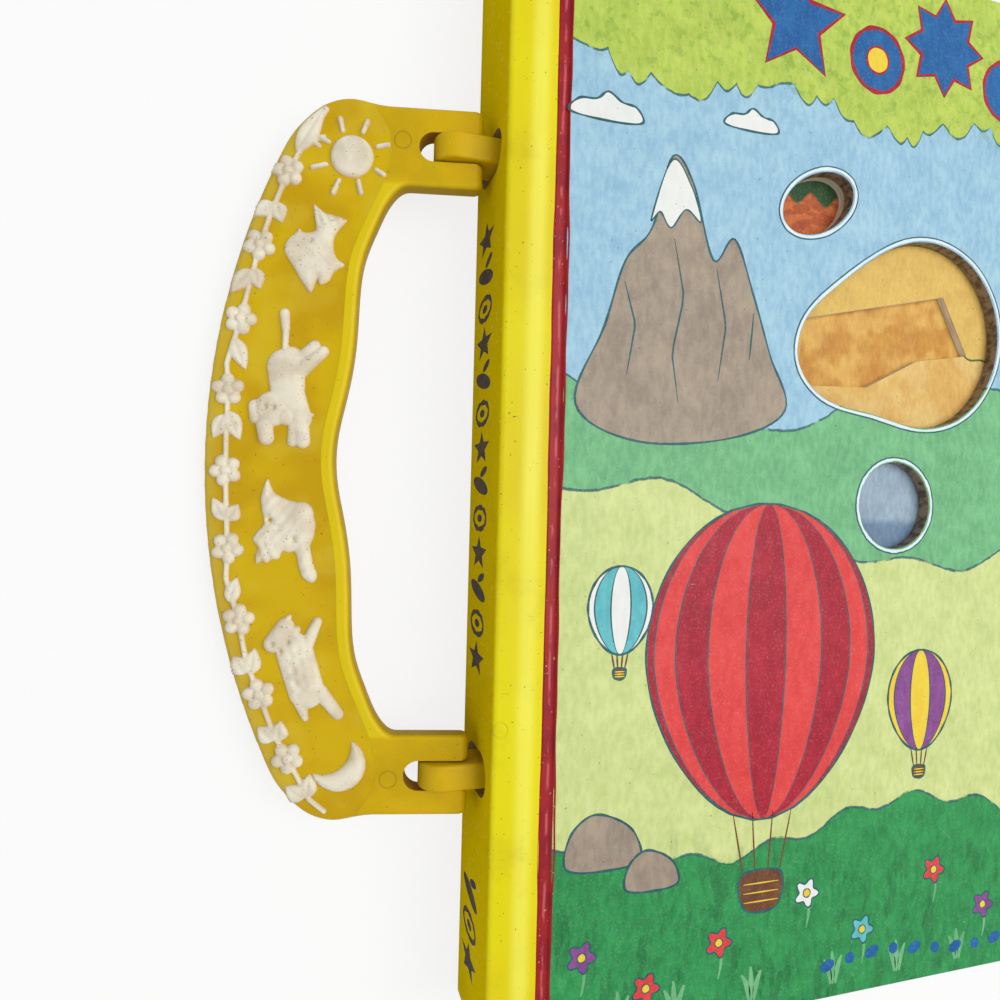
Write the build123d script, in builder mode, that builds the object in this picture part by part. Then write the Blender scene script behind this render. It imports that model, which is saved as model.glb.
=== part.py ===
from build123d import *
import math
import os

# A large children's board book that lies on its back cover, spine towards -X,
# head towards +Y. A plastic carry handle swings on two lugs that come out of the spine.
# The origin is the middle of the back cover's underside.

# ---- driving dimensions, mm ----
book_width = 228.0
book_height = 275.0
book_thickness = 28.8

cover_thickness = 3.2
cover_gap = 0.3            # air between a closed cover and the pages
spine_board = 2.6
corner_radius = 6.0        # fore-edge corners of covers and pages
edge_round = 0.4           # rounding of the covers' outer edges

strip_width = 12.3         # rigid yellow strip beside the spine, front and back
strip_edge_drop = 0.5      # how much lower the strip is at the spine than at its crown
strip_crown_share = 0.64   # place of the crown across the strip
spine_corner = 1.5
groove_width = 2.6         # flexible hinge groove between strip and cover
groove_depth = 1.0
groove_floor = 0.7

page_inset = 3.0           # pages stand back from the covers' edges
page_thickness = 2.0
page_slit = 0.25
page_slit_depth = 1.4

pin_reach = 9.1            # pin axis to spine face
pin_radius = 1.5
pin_clearance = 0.05
pin_end_gap = 0.3
pin_blind_wall = 2.0

lug_spacing = 150.0
lug_width = 6.2
lug_radius = 5.2
lug_edge = 0.7
anchor_thickness = 2.4
anchor_length = 186.0
anchor_side_gap = 0.5
lug_hole_width = 10.6
lug_hole_height = 18.0

handle_thickness = 5.5
handle_reach = 56.7        # pin axis to the grip's outer edge
handle_bow = 171.8         # radius of the grip's outer edge
arm_width = 19.0
ear_reach = 6.7            # pin axis to the ears' free ends
ear_round = 2.2
slot_gap = 0.45            # lug to ear, each side
slot_reach = 8.6           # pin axis to the slot's closed end
handle_edge = 1.3
inlay_depth = 2.0
rim_width = 3.0            # bare rim of the frame along the finger edge
relief_height = 1.4

drawn_reach = 56.7         # the grip's outline and ornament are drawn for this reach
drawn_inner = 65.5         # and for arms this far from the middle, and follow the real ones

window_egg_long = 11.9
window_egg_short = 7.3
window_round_radius = 11.7

# ---- places that follow from them ----
spine_x = -book_width / 2
mid_z = book_thickness / 2
half_height = book_height / 2
strip_thickness = cover_thickness + cover_gap
cover_start = strip_width + groove_width
cover_width = book_width - cover_start
page_start = spine_board + anchor_thickness
page_width = book_width - page_inset - page_start
page_height = book_height - 2 * page_inset
page_stack = book_thickness - 2 * strip_thickness
lug_y = lug_spacing / 2
pin_x = spine_x - pin_reach
anchor_height = page_stack - 2 * anchor_side_gap
slot_width = lug_width + 2 * slot_gap
arm_outer = lug_y + arm_width / 2
arm_inner = lug_y - arm_width / 2
reach_share = handle_reach / drawn_reach
spacing_share = arm_inner / drawn_inner

# The free handle leans on what the book lies on: its outer lower edge is at z = 0.
lean_long = handle_reach - handle_edge
lean_short = handle_thickness / 2 - handle_edge
droop = math.asin((mid_z - handle_edge) / math.hypot(lean_long, lean_short)) - math.atan2(lean_short, lean_long)

# Local x of this plane points towards the spine, local y along it.
handle_plane = Plane(
    origin=(pin_x, 0, mid_z),
    x_dir=(math.cos(droop), 0, math.sin(droop)),
    z_dir=(-math.sin(droop), 0, math.cos(droop)),
)
handle_front = handle_plane.offset(handle_thickness / 2)
handle_back = handle_plane.offset(-handle_thickness / 2)
book_section = Plane(origin=(spine_x, 0, mid_z), x_dir=(1, 0, 0), z_dir=(0, -1, 0))
spine_face = Plane(origin=(spine_x, 0, mid_z), x_dir=(0, 1, 0), z_dir=(1, 0, 0))
front_face = Plane.XY.offset(book_thickness)

os.makedirs("parts", exist_ok=True)


def save(piece, label):
    """Label a finished piece and write its STEP file."""
    piece.part.label = label
    export_step(piece.part, f"parts/{label}.step")


def at_cover(x, y):
    """A place on the covers, x from the spine's face, y from mid height."""
    return (spine_x + x, y)


# ---- spine case: one wrapped board, U-shaped in section ----
with BuildPart() as spine_case:
    with BuildSketch(book_section):
        with BuildLine():
            strip_edge = mid_z - strip_edge_drop
            crown = (strip_crown_share * strip_width, mid_z)
            brow = (strip_width - spine_corner / 3, mid_z - groove_depth / 2)
            groove_z = mid_z - groove_depth
            inner_z = mid_z - strip_thickness
            tongue_end = cover_start - cover_gap
            Line((0, 0), (0, strip_edge - spine_corner))
            TangentArc((0, strip_edge - spine_corner), (spine_corner, strip_edge), tangent=(0, 1))
            TangentArc(crown, (spine_corner, strip_edge), tangent=(-1, 0))
            TangentArc(crown, brow, tangent=(1, 0))
            Polyline(
                brow,
                (strip_width, groove_z),
                (tongue_end, groove_z),
                (tongue_end, groove_z - groove_floor),
                (strip_width, groove_z - groove_floor),
                (strip_width, inner_z),
                (spine_board, inner_z),
                (spine_board, 0),
            )
            mirror(about=Plane.XZ)
        make_face()
    extrude(amount=half_height, both=True)
    with BuildSketch(spine_face):
        with Locations((lug_y, 0), (-lug_y, 0)):
            RectangleRounded(lug_hole_width, lug_hole_height, lug_hole_width / 2 - 0.1)
    extrude(amount=spine_board, mode=Mode.SUBTRACT)
save(spine_case, "spine_case")

# ---- anchor strip: a plate inside the spine with the two lugs that pass through it ----
with BuildPart() as anchor_strip:
    for side in (1, -1):
        lug_section = Plane(origin=(pin_x, side * lug_y, mid_z), x_dir=(1, 0, 0), z_dir=(0, -1, 0))
        lug_length = pin_reach + spine_board
        with BuildSketch(lug_section):
            Circle(lug_radius)
            with Locations((lug_length / 2, 0)):
                Rectangle(lug_length, 2 * lug_radius)
        extrude(amount=lug_width / 2, both=True)
    outlines = anchor_strip.faces().filter_by(Axis.Y).edges()
    fillet(outlines.filter_by_position(Axis.X, pin_x - lug_radius, spine_x + spine_board - lug_edge), lug_edge)
    with BuildSketch(spine_face.offset(spine_board)):
        RectangleRounded(anchor_length, anchor_height, corner_radius / 2)
    extrude(amount=anchor_thickness)
    with BuildSketch(Plane(origin=(pin_x, 0, mid_z), x_dir=(1, 0, 0), z_dir=(0, -1, 0))):
        Circle(pin_radius + pin_clearance)
    extrude(amount=half_height, both=True, mode=Mode.SUBTRACT)
save(anchor_strip, "anchor_strip")


# ---- covers: boards with rounded fore-edge corners ----
def cover_board(base_z):
    """A plain cover board, its outer edges rounded, standing on height base_z."""
    with BuildPart() as board:
        with BuildSketch(Plane.XY.offset(base_z)):
            with Locations(at_cover(cover_start + cover_width / 2, 0)):
                Rectangle(cover_width, book_height)
        extrude(amount=cover_thickness)
        fillet(board.edges().filter_by(Axis.Z).group_by(Axis.X)[-1], corner_radius)
    return board.part


def window_egg():
    """The small tilted egg-shaped window, near the head of the front cover."""
    with Locations(at_cover(85.2, 70.9)):
        Ellipse(window_egg_long, window_egg_short, rotation=30)


# the large smooth-edged window at the middle of the front cover
cloud_rim = [(79.7, 32.5), (82.4, 40.6), (90.3, 48.6), (102.7, 58.0), (119.0, 65.0), (135.0, 62.0)]
cloud_rim += [(146.0, 49.0), (146.0, 32.0), (135.0, 18.0), (119.0, 14.0), (103.8, 16.8), (86.6, 21.0)]

with BuildPart() as back_cover:
    add(cover_board(0))
    fillet(back_cover.faces().sort_by(Axis.Z)[0].edges(), edge_round)
save(back_cover, "back_cover")

with BuildPart() as front_cover:
    add(cover_board(book_thickness - cover_thickness))
    with BuildSketch(front_face):
        window_egg()
        with Locations(at_cover(112.0, -7.6)):
            Circle(window_round_radius)
        with BuildLine():
            Spline([at_cover(*point) for point in cloud_rim], periodic=True)
        make_face()
    extrude(amount=-cover_thickness, mode=Mode.SUBTRACT)
    fillet(front_cover.faces().sort_by(Axis.Z)[-1].edges(), edge_round)
save(front_cover, "front_cover")

# ---- page block: thick leaves glued along the spine, slit apart on three sides ----
page_top = book_thickness - strip_thickness
leaf_count = round(page_stack / page_thickness)
leaf = page_stack / leaf_count
page_corner = corner_radius - 1


def leaf_outline(inset, mode):
    """A leaf's outline drawn in by inset. It starts short of the spine, where the block is whole."""
    length = page_width + page_corner - inset
    with Locations(at_cover(page_start - page_corner + length / 2, 0)):
        RectangleRounded(length, page_height - 2 * inset, page_corner - max(inset, 0), mode=mode)


with BuildPart() as page_block:
    with BuildSketch(Plane.XY.offset(strip_thickness)):
        with Locations(at_cover(page_start + page_width / 2, 0)):
            Rectangle(page_width, page_height)
    extrude(amount=page_stack)
    fillet(page_block.edges().filter_by(Axis.Z).group_by(Axis.X)[-1], page_corner)
    for slit in range(1, leaf_count):
        with BuildSketch(Plane.XY.offset(strip_thickness + slit * leaf - page_slit / 2)):
            leaf_outline(-1, Mode.ADD)
            leaf_outline(page_slit_depth, Mode.SUBTRACT)
        extrude(amount=page_slit, mode=Mode.SUBTRACT)
    # the first leaf has windows of its own, behind those of the cover
    with BuildSketch(Plane.XY.offset(page_top)):
        window_egg()
        with BuildLine():
            pane = [(84.0, 41.5), (131.0, 52.0), (140.0, 36.0), (122.0, 33.0), (105.0, 24.5), (82.0, 23.5)]
            Polyline([at_cover(*point) for point in pane], close=True)
        make_face()
    extrude(amount=-leaf, mode=Mode.SUBTRACT)
save(page_block, "page_block")

# ---- carry handle: half of each outline is drawn, at the head end, and mirrored ----
bow_centre = handle_bow - handle_reach
shoulder_y = arm_outer - 12.7
shoulder = (bow_centre - math.sqrt(handle_bow**2 - shoulder_y**2), shoulder_y)
bow_tangent = (-shoulder_y, shoulder[0] - bow_centre)
grip_end = (-handle_reach, 0)
arm_root = (-15.0, arm_outer)


def on_grip(x, y):
    """A place on the grip, moved in step with the handle's reach and the arms' spacing."""
    return (x * reach_share, y * spacing_share)


def outer_curve():
    """The outer outline from the arm's edge round the shoulder to the grip's middle."""
    rise = [(-25.0, arm_outer + 1.2), (-31.2, arm_outer - 0.7), (-36.4, arm_outer - 5.3)]
    rise = [(x * reach_share, y) for x, y in rise]
    Spline([arm_root] + rise + [shoulder], tangents=[(-1, 0), bow_tangent])
    halfway = shoulder_y / 2
    ThreePointArc(shoulder, (bow_centre - math.sqrt(handle_bow**2 - halfway**2), halfway), grip_end)


def finger_wave(rim):
    """Points of the wavy finger edge down to the grip's middle, set into the grip by rim."""
    wave = [(-18.0, 56.0), (-20.9, 48.0), (-22.1, 38.0), (-22.6, 27.0), (-24.5, 14.5), (-26.7, 0)]
    return [(x * reach_share - rim, y * spacing_share) for x, y in wave]


# the handle's whole body, before the soft inlay's recess is taken from it
with BuildPart() as handle_blank:
    with BuildSketch(handle_back):
        with BuildLine():
            Line((ear_reach, arm_outer), arm_root)
            outer_curve()
            Spline(
                finger_wave(0)[::-1] + [(-14.4, arm_inner - 2.4), (-10.5, arm_inner)],
                tangents=[(0, 1), (1, 0)],
            )
            Polyline((-10.5, arm_inner), (ear_reach, arm_inner), (ear_reach, arm_outer))
            mirror(about=Plane.XZ)
        make_face()
    extrude(amount=handle_thickness)
    fillet(handle_blank.edges().filter_by(Axis.Y).sort_by(Axis.X)[-4:], ear_round)
    through = Axis(handle_plane.origin, handle_plane.z_dir)
    flats = handle_blank.faces().filter_by(through).sort_by(through)
    fillet(flats[0].edges() + flats[-1].edges(), handle_edge)
    with BuildSketch(handle_back):
        for side in (1, -1):
            with Locations((ear_reach, side * lug_y)):
                SlotCenterToCenter(2 * (ear_reach + slot_reach - slot_width / 2), slot_width)
    extrude(amount=handle_thickness, mode=Mode.SUBTRACT)

# ---- soft inlay: fills a recess in the grip's front and reaches its outer edge ----
beyond = arm_outer + 10
with BuildPart() as inlay_region:
    with BuildSketch(handle_front):
        with BuildLine():
            tip = (-21.0, beyond)
            Spline(
                finger_wave(rim_width)[::-1]
                + [(-17.7, arm_inner - 2.0), (-15.3, lug_y - 4.0), (-16.0, lug_y + 4.0), (-19.6, arm_outer), tip],
                tangents=[(0, 1), (0, 1)],
            )
            Polyline(tip, (-handle_reach - 10, beyond), (-handle_reach - 10, 0))
            mirror(about=Plane.XZ)
        make_face()
    extrude(amount=-inlay_depth)

with BuildPart() as handle_frame:
    add(handle_blank.part)
    add(inlay_region.part, mode=Mode.SUBTRACT)
    for side in (1, -1):
        with BuildSketch(Plane(origin=(pin_x, side * (arm_inner + pin_blind_wall), mid_z), z_dir=(0, side, 0))):
            Circle(pin_radius)
        extrude(amount=arm_width, mode=Mode.SUBTRACT)
save(handle_frame, "handle_frame")

with BuildPart() as handle_inlay:
    add(handle_blank.part)
    add(inlay_region.part, mode=Mode.INTERSECT)
save(handle_inlay, "handle_inlay")

# ---- hinge pins: pressed into the ears from outside, free in the lugs ----
pin_length = arm_width - pin_blind_wall - pin_end_gap
for side, label in ((1, "hinge_pin_head"), (-1, "hinge_pin_foot")):
    with BuildPart() as hinge_pin:
        with BuildSketch(Plane(origin=(pin_x, side * (arm_inner + pin_blind_wall), mid_z), z_dir=(0, side, 0))):
            Circle(pin_radius)
        extrude(amount=pin_length)
    save(hinge_pin, label)

# ---- relief ornament: one white moulding on the inlay, kept to plain outlines here ----
sun_centre = (-24.4, 71.2)
sun_radius = 4.9
ray_count = 8
ray_start = 27             # degrees
moon_centre = (-23.9, -72.4)
moon_radius = 6.2
flower_radius = 3.0
flowers = [(-39.0, 67.0), (-45.1, 49.4), (-49.0, 31.8), (-51.4, 15.2), (-51.5, -3.7)]
flowers += [(-50.6, -21.8), (-47.6, -38.5), (-42.5, -55.8), (-35.6, -70.7)]
vine_ends = [(-34.5, 75.5), (-31.5, -78.0)]
vine_width = 1.2
animals = {
    "fish": [
        (-32.8, 59.5), (-29.2, 57.4), (-25.1, 56.0), (-27.9, 51.9), (-27.5, 47.6), (-25.5, 45.5),
        (-30.0, 40.5), (-33.3, 38.3), (-37.1, 42.3), (-39.3, 48.8), (-36.1, 52.8), (-32.0, 53.1),
    ],
    "cub": [
        (-39.2, 34.5), (-37.7, 32.3), (-37.1, 24.9), (-34.4, 23.7), (-32.1, 26.9), (-28.8, 25.8),
        (-29.5, 22.7), (-33.4, 19.0), (-32.9, 11.5), (-31.7, 2.2), (-35.7, 1.7), (-36.6, 7.3),
        (-39.5, 6.3), (-42.1, 2.3), (-44.3, 3.0), (-46.0, 9.5), (-41.7, 14.5), (-41.7, 21.5),
        (-39.4, 24.8), (-40.2, 32.2),
    ],
    "dove": [
        (-41.8, -5.5), (-39.1, -8.2), (-32.0, -11.8), (-30.3, -14.8), (-31.1, -21.1), (-29.8, -27.4),
        (-30.6, -29.4), (-33.4, -28.4), (-35.0, -22.8), (-39.3, -24.7), (-44.1, -25.3), (-44.6, -19.8),
        (-42.5, -16.1), (-43.3, -10.5),
    ],
    "lamb": [
        (-37.2, -37.3), (-34.1, -40.4), (-32.4, -42.1), (-31.8, -39.0), (-28.8, -37.9), (-29.0, -43.0),
        (-26.7, -52.3), (-23.0, -59.8), (-25.5, -61.2), (-28.5, -59.1), (-30.9, -59.1), (-31.8, -62.0),
        (-33.6, -60.2), (-37.6, -47.2), (-41.4, -43.9), (-41.1, -39.8),
    ],
}

with BuildPart() as relief_ornament:
    with BuildSketch(handle_front):
        with Locations(on_grip(*sun_centre)):
            Circle(sun_radius)
            with PolarLocations(1.75 * sun_radius, ray_count, ray_start):
                SlotOverall(3.2, 1.2)
        moon_x, moon_y = on_grip(*moon_centre)
        with Locations((moon_x, moon_y)):
            Circle(moon_radius)
        with Locations((moon_x - 3.4, moon_y + 4.0)):
            Circle(1.06 * moon_radius, mode=Mode.SUBTRACT)
        for outline in animals.values():
            with BuildLine():
                Polyline([on_grip(*point) for point in outline], close=True)
            make_face()
        stops = [on_grip(*point) for point in [vine_ends[0]] + flowers + [vine_ends[1]]]
        with Locations(stops[1:-1]):
            Circle(flower_radius)
        for start, end in zip(stops, stops[1:]):
            run = math.dist(start, end)
            heading = math.degrees(math.atan2(end[1] - start[1], end[0] - start[0]))
            middle = ((start[0] + end[0]) / 2, (start[1] + end[1]) / 2)
            with Locations(middle):
                SlotOverall(run + vine_width, vine_width, rotation=heading)
                Ellipse(0.36 * flower_radius, 0.8 * flower_radius, rotation=heading)
    extrude(amount=relief_height)
save(relief_ornament, "relief_ornament")
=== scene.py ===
import math

import bpy
import numpy as np
from bpy.props import FloatProperty, FloatVectorProperty, IntProperty, PointerProperty
from mathutils import Matrix, Vector


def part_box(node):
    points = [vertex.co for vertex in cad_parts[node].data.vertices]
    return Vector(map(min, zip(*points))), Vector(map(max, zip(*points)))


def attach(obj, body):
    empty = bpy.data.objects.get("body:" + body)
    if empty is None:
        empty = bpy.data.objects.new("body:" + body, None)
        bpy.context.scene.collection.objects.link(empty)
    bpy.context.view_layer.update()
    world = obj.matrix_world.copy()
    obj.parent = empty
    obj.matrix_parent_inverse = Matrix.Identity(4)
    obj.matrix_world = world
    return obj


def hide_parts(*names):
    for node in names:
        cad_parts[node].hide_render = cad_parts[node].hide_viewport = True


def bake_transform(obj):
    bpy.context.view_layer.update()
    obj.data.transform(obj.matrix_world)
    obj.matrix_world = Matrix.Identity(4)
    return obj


bl_info = {
    "name": "Board book with carry handle",
    "version": (1, 0, 0),
    "blender": (4, 5, 0),
    "location": "3D View > Sidebar > Board Book",
    "description": "Prints, moulded relief, hinge wraps, finishes and stage for the packed board book",
    "category": "Object",
}

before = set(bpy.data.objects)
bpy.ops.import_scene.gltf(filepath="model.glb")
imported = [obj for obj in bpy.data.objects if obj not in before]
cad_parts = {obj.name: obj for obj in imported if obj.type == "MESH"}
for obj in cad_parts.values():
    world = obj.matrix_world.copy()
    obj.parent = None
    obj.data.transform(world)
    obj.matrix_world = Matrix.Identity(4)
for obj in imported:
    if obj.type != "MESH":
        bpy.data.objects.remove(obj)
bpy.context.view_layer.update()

# Sizes are in millimetres. The frame's boxes give those that it holds.
MM = 0.001
SPINE_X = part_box("spine_case")[0].x / MM
BOOK_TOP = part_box("spine_case")[1].z / MM
HALF_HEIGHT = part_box("spine_case")[1].y / MM
PAGE_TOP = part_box("page_block")[1].z / MM
PIN = (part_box("hinge_pin_head")[0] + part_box("hinge_pin_head")[1]) / 2 / MM
LEAVES = 11
LUG_Y = 75.0
HANDLE_THICKNESS = 5.5
HANDLE_REACH = 56.7
HANDLE_BOW = 171.8
HANDLE_EDGE = 1.3
GRIP_END = 66.0

# The windows' middles, from the spine's face and from mid height, and how far their outlines lie from them.
WINDOWS = (((85.2, 70.9), 12.4), ((112, -7.6), 12.2), ((115, 40), 42))

# The handle droops until its outer edge leans on the table.
LEAN_LONG = HANDLE_REACH - HANDLE_EDGE
LEAN_SHORT = HANDLE_THICKNESS / 2 - HANDLE_EDGE
LEAN = math.hypot(LEAN_LONG, LEAN_SHORT)
DROOP = math.asin((PIN.z - HANDLE_EDGE) / LEAN) - math.atan2(LEAN_SHORT, LEAN_LONG)


def linear(red, green, blue):
    """Linear colour of a screen colour written from 0 to 255."""
    parts = np.array((red, green, blue)) / 255
    return tuple(np.where(parts <= 0.04045, parts / 12.92, ((parts + 0.055) / 1.055) ** 2.4).tolist())


def tint(name, about, *screen):
    """A colour that a user may change."""
    return FloatVectorProperty(
        name=name, description=about, subtype="COLOR", size=3, min=0, max=1, default=linear(*screen)
    )


def length(name, about, default, low=0.0, high=100.0):
    """A length in millimetres that a user may change."""
    about = about + ", in millimetres"
    return FloatProperty(name=name, description=about, default=default, min=low, max=high)


# ---------------------------------------------------------------- settings


class CaseSettings(bpy.types.PropertyGroup):
    """The wrapped case and its hinge."""

    yellow: tint("Wrap yellow", "Paper of the spine and its two strips", 236, 224, 18)
    # Painted highlight: the paler band along the crest of the two strips.
    crown_highlight: tint("Crown", "Rubbed crown of the two strips", 255, 250, 104)
    # Spine yellow is painted shade: the spine's face is darkened against the strips.
    spine: tint("Spine yellow", "Paper on the spine's face", 214, 188, 4)
    orange: tint("Wrap edge", "Where the yellow paper meets the red one", 222, 150, 20)
    red: tint("Hinge red", "Paper over the hinge groove", 166, 38, 42)
    # Worn red is a painted highlight: the pale line along the bend of the red paper.
    red_bend_highlight: tint("Worn red", "Rubbed line along the hinge", 205, 92, 98)
    speck: tint("Speck", "Tiny dirt specks", 96, 84, 20)
    wrap_thickness: length("Wrap thickness", "Paper over the hinge groove", 0.18, 0.05, 0.5)
    wave: length("Hinge wave", "How far the red paper's edges wander", 0.34, 0.0, 0.6)


class PrintSettings(bpy.types.PropertyGroup):
    """Colours of the printed pictures."""

    lime: tint("Lime", "Leafy head border", 176, 200, 84)
    sky: tint("Sky", "Sky", 150, 194, 220)
    hill: tint("Hill", "Far hill", 108, 178, 126)
    meadow: tint("Meadow", "Pale meadow", 202, 216, 140)
    grass: tint("Grass", "Grass at the foot", 44, 140, 78)
    ink: tint("Ink", "Drawn outlines", 44, 92, 100)
    stone: tint("Stone", "Mountain", 156, 141, 126)
    snow: tint("Snow", "Snow and clouds", 236, 238, 234)
    red: tint("Balloon red", "Light gores of the balloon", 222, 66, 66)
    dark_red: tint("Balloon dark red", "Dark gores of the balloon", 166, 32, 52)
    turquoise: tint("Turquoise", "Small balloon", 90, 182, 192)
    purple: tint("Purple", "Small balloon", 132, 72, 142)
    brown: tint("Brown", "Baskets", 108, 66, 44)
    sun: tint("Sun", "Yellow accents", 240, 206, 60)
    blue: tint("Blue", "Head band shapes", 30, 95, 160)
    page: tint("Page tan", "First leaf", 218, 170, 92)
    page_warm: tint("Page orange", "Second leaf", 176, 84, 46)
    lining: tint("Lining", "Inner face of the front cover", 206, 222, 226)
    # Board core: the board's pale cut edge, with a painted highlight on it.
    core: tint("Board core", "Cut edge of the board", 222, 240, 246)
    layer: length("Print layer", "Height of one printed layer over another", 0.012, 0.004, 0.05)
    line: length("Line width", "Width of the drawn outlines", 0.55, 0.2, 1.5)
    gores: IntProperty(name="Gores", description="Gores across the balloon", default=9, min=5, max=15)


class HandleSettings(bpy.types.PropertyGroup):
    """The moulded handle, its inlay and its relief."""

    yellow: tint("Frame yellow", "Hard plastic of the frame and lugs", 216, 179, 6)
    rim: tint("Rim yellow", "Front of the grip's raised rim", 232, 208, 14)
    # Rim yellow is a painted highlight on the front face of the grip.
    shade: tint("Slot shade", "Shaded plastic in the slots", 150, 92, 2)
    amber: tint("Inlay amber", "Soft inlay", 218, 183, 5)
    amber_deep: tint("Deep amber", "Thick places of the inlay", 206, 166, 4)
    amber_pale: tint("Pale amber", "Outer edge of the inlay", 206, 180, 62)
    ivory: tint("Relief ivory", "Relief figures", 242, 234, 212)
    ivory_warm: tint("Warm ivory", "Relief where it meets the inlay", 226, 178, 96)
    dirt: tint("Dirt", "Dirt in the relief's hollows", 96, 84, 70)
    body_top: length("Figure height", "Height of the figures over the inlay", 1.6, 0.5, 2.0)
    stem_top: length("Stem height", "Height of the vine's stem", 0.75, 0.3, 1.5)
    grid: length("Relief grid", "Spacing of the relief's surface grid", 0.26, 0.2, 1.0)
    leaf_swell: FloatProperty(
        name="Leaf swell", description="Factor on the leaves' width", default=1.35, min=0.5, max=2
    )


class StageSettings(bpy.types.PropertyGroup):
    """Floor, lamps and camera."""

    floor: tint("Floor", "Pale floor", 244, 244, 244)
    key_power: FloatProperty(
        name="Key power", description="Power of the large soft lamp", default=7.0, unit="POWER"
    )
    fill_power: FloatProperty(
        name="Fill power", description="Power of the side lamp", default=1.2, unit="POWER"
    )
    ambient: FloatProperty(
        name="Ambient", description="Strength of the even surrounding light", default=0.42
    )
    lens: FloatProperty(
        name="Lens", description="Focal length in millimetres", default=25.11, min=10, max=200
    )


class BookSettings(bpy.types.PropertyGroup):
    """All settings of the board book."""

    case: PointerProperty(type=CaseSettings)
    art: PointerProperty(type=PrintSettings)
    handle: PointerProperty(type=HandleSettings)
    stage: PointerProperty(type=StageSettings)


def settings():
    """The scene's settings."""
    return bpy.context.scene.board_book


# ---------------------------------------------------------------- finishes


class Field:
    """A number or colour that varies over a surface: one node's output, with arithmetic on it."""

    def __init__(self, finish, socket):
        self.finish, self.socket = finish, socket

    def math(self, operation, a, b=0.0):
        """One arithmetic node."""
        return self.finish.field("ShaderNodeMath", {0: a, 1: b}, operation=operation)

    def __add__(self, other):
        return self.math("ADD", self, other)

    def __sub__(self, other):
        return self.math("SUBTRACT", self, other)

    def __rsub__(self, other):
        return self.math("SUBTRACT", other, self)

    def __mul__(self, other):
        return self.math("MULTIPLY", self, other)

    def __abs__(self):
        return self.math("ABSOLUTE", self)

    __radd__ = __add__
    __rmul__ = __mul__

    def step(self, low, high):
        """0 below low, 1 above high, and a smooth rise between; low may be the larger."""
        inputs = {0: self, 1: low, 2: high}
        return self.finish.field("ShaderNodeMapRange", inputs, interpolation_type="SMOOTHSTEP")

    def between(self, low, high, soft=0.05):
        """1 where the value lies between low and high."""
        return self.step(low - soft, low + soft) * self.step(high + soft, high - soft)

    def larger(self, other):
        """The larger of two values."""
        return self.math("MAXIMUM", self, other)

    def apart(self, other):
        """The length of the vector whose parts are the two values."""
        return self.math("POWER", self * self + other * other, 0.5)


class Finish:
    """A node material on Object coordinates, which it holds in millimetres."""

    def __init__(self, name, roughness, **sockets):
        self.material = bpy.data.materials.new(name)
        self.material.use_nodes = True
        self.tree = self.material.node_tree
        self.tree.nodes.clear()
        sockets = {"Roughness": roughness, "Specular IOR Level": 0.2, **sockets}
        self.shader = self.node("ShaderNodeBsdfPrincipled", sockets)
        self.node("ShaderNodeOutputMaterial", {"Surface": self.shader.outputs[0]})
        self.coords = self.node("ShaderNodeTexCoord").outputs
        self.place = self.times(self.coords["Object"], (1 / MM, 1 / MM, 1 / MM))
        self.x, self.y, self.z = self.split(self.place)

    def node(self, kind, inputs=None, **choices):
        """A node with its choices set, and each input either linked or given its value."""
        node = self.tree.nodes.new(kind)
        for key, value in choices.items():
            setattr(node, key, value)
        for key, value in (inputs or {}).items():
            if isinstance(value, Field):
                value = value.socket
            if isinstance(value, bpy.types.NodeSocket):
                self.tree.links.new(value, node.inputs[key])
            elif node.inputs[key].type == "RGBA":
                node.inputs[key].default_value = (*value[:3], 1)
            else:
                node.inputs[key].default_value = value
        return node

    def field(self, kind, inputs=None, output=0, **choices):
        """One output of a new node."""
        return Field(self, self.node(kind, inputs, **choices).outputs[output])

    def times(self, vector, factors):
        """A vector whose parts are each multiplied."""
        return self.field("ShaderNodeVectorMath", {0: vector, 1: factors}, operation="MULTIPLY")

    def split(self, vector):
        """The three parts of a vector."""
        return [Field(self, part) for part in self.node("ShaderNodeSeparateXYZ", {0: vector}).outputs]

    def mix(self, factor, a, b, blend="MIX"):
        """Colour b over colour a."""
        inputs = {0: factor, 6: a, 7: b}
        return self.field("ShaderNodeMix", inputs, 2, data_type="RGBA", blend_type=blend)

    def noise(self, size, detail=2.0, stretch=None, roughness=0.5):
        """Noise whose features are about size millimetres across, or that over stretch along each axis."""
        place = self.times(self.place, stretch) if stretch else self.place
        inputs = {"Vector": place, "Scale": 1 / size, "Detail": detail, "Roughness": roughness}
        return self.field("ShaderNodeTexNoise", inputs)

    def wave(self, x, base, *sines):
        """base plus a sum of sines of x, each as amplitude, period and phase."""
        for amplitude, period, phase in sines:
            turn = x * (2 * math.pi / period) + phase
            base = base + turn.math("SINE", turn) * amplitude
        return base

    def link(self, field, socket):
        """Sends a field to one of the shader's sockets."""
        self.tree.links.new(field.socket, self.shader.inputs[socket])

    def bump(self, height, depth, before=None):
        """Relief of the given depth, over the relief before it."""
        inputs = {"Height": height, "Distance": depth * MM, "Strength": 1.0}
        if before:
            inputs["Normal"] = before
        made = self.field("ShaderNodeBump", inputs)
        self.link(made, "Normal")
        return made

    def specks(self, colour, speck, size, share, strength=0.8):
        """Small scattered specks over a colour; share is the noise level above which they show."""
        return self.mix(self.noise(size, 1.0).step(share, share + 0.05) * strength, colour, speck)


def dress(node_name, finish):
    """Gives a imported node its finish."""
    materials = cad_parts[node_name].data.materials
    materials.clear()
    materials.append(finish.material)


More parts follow.
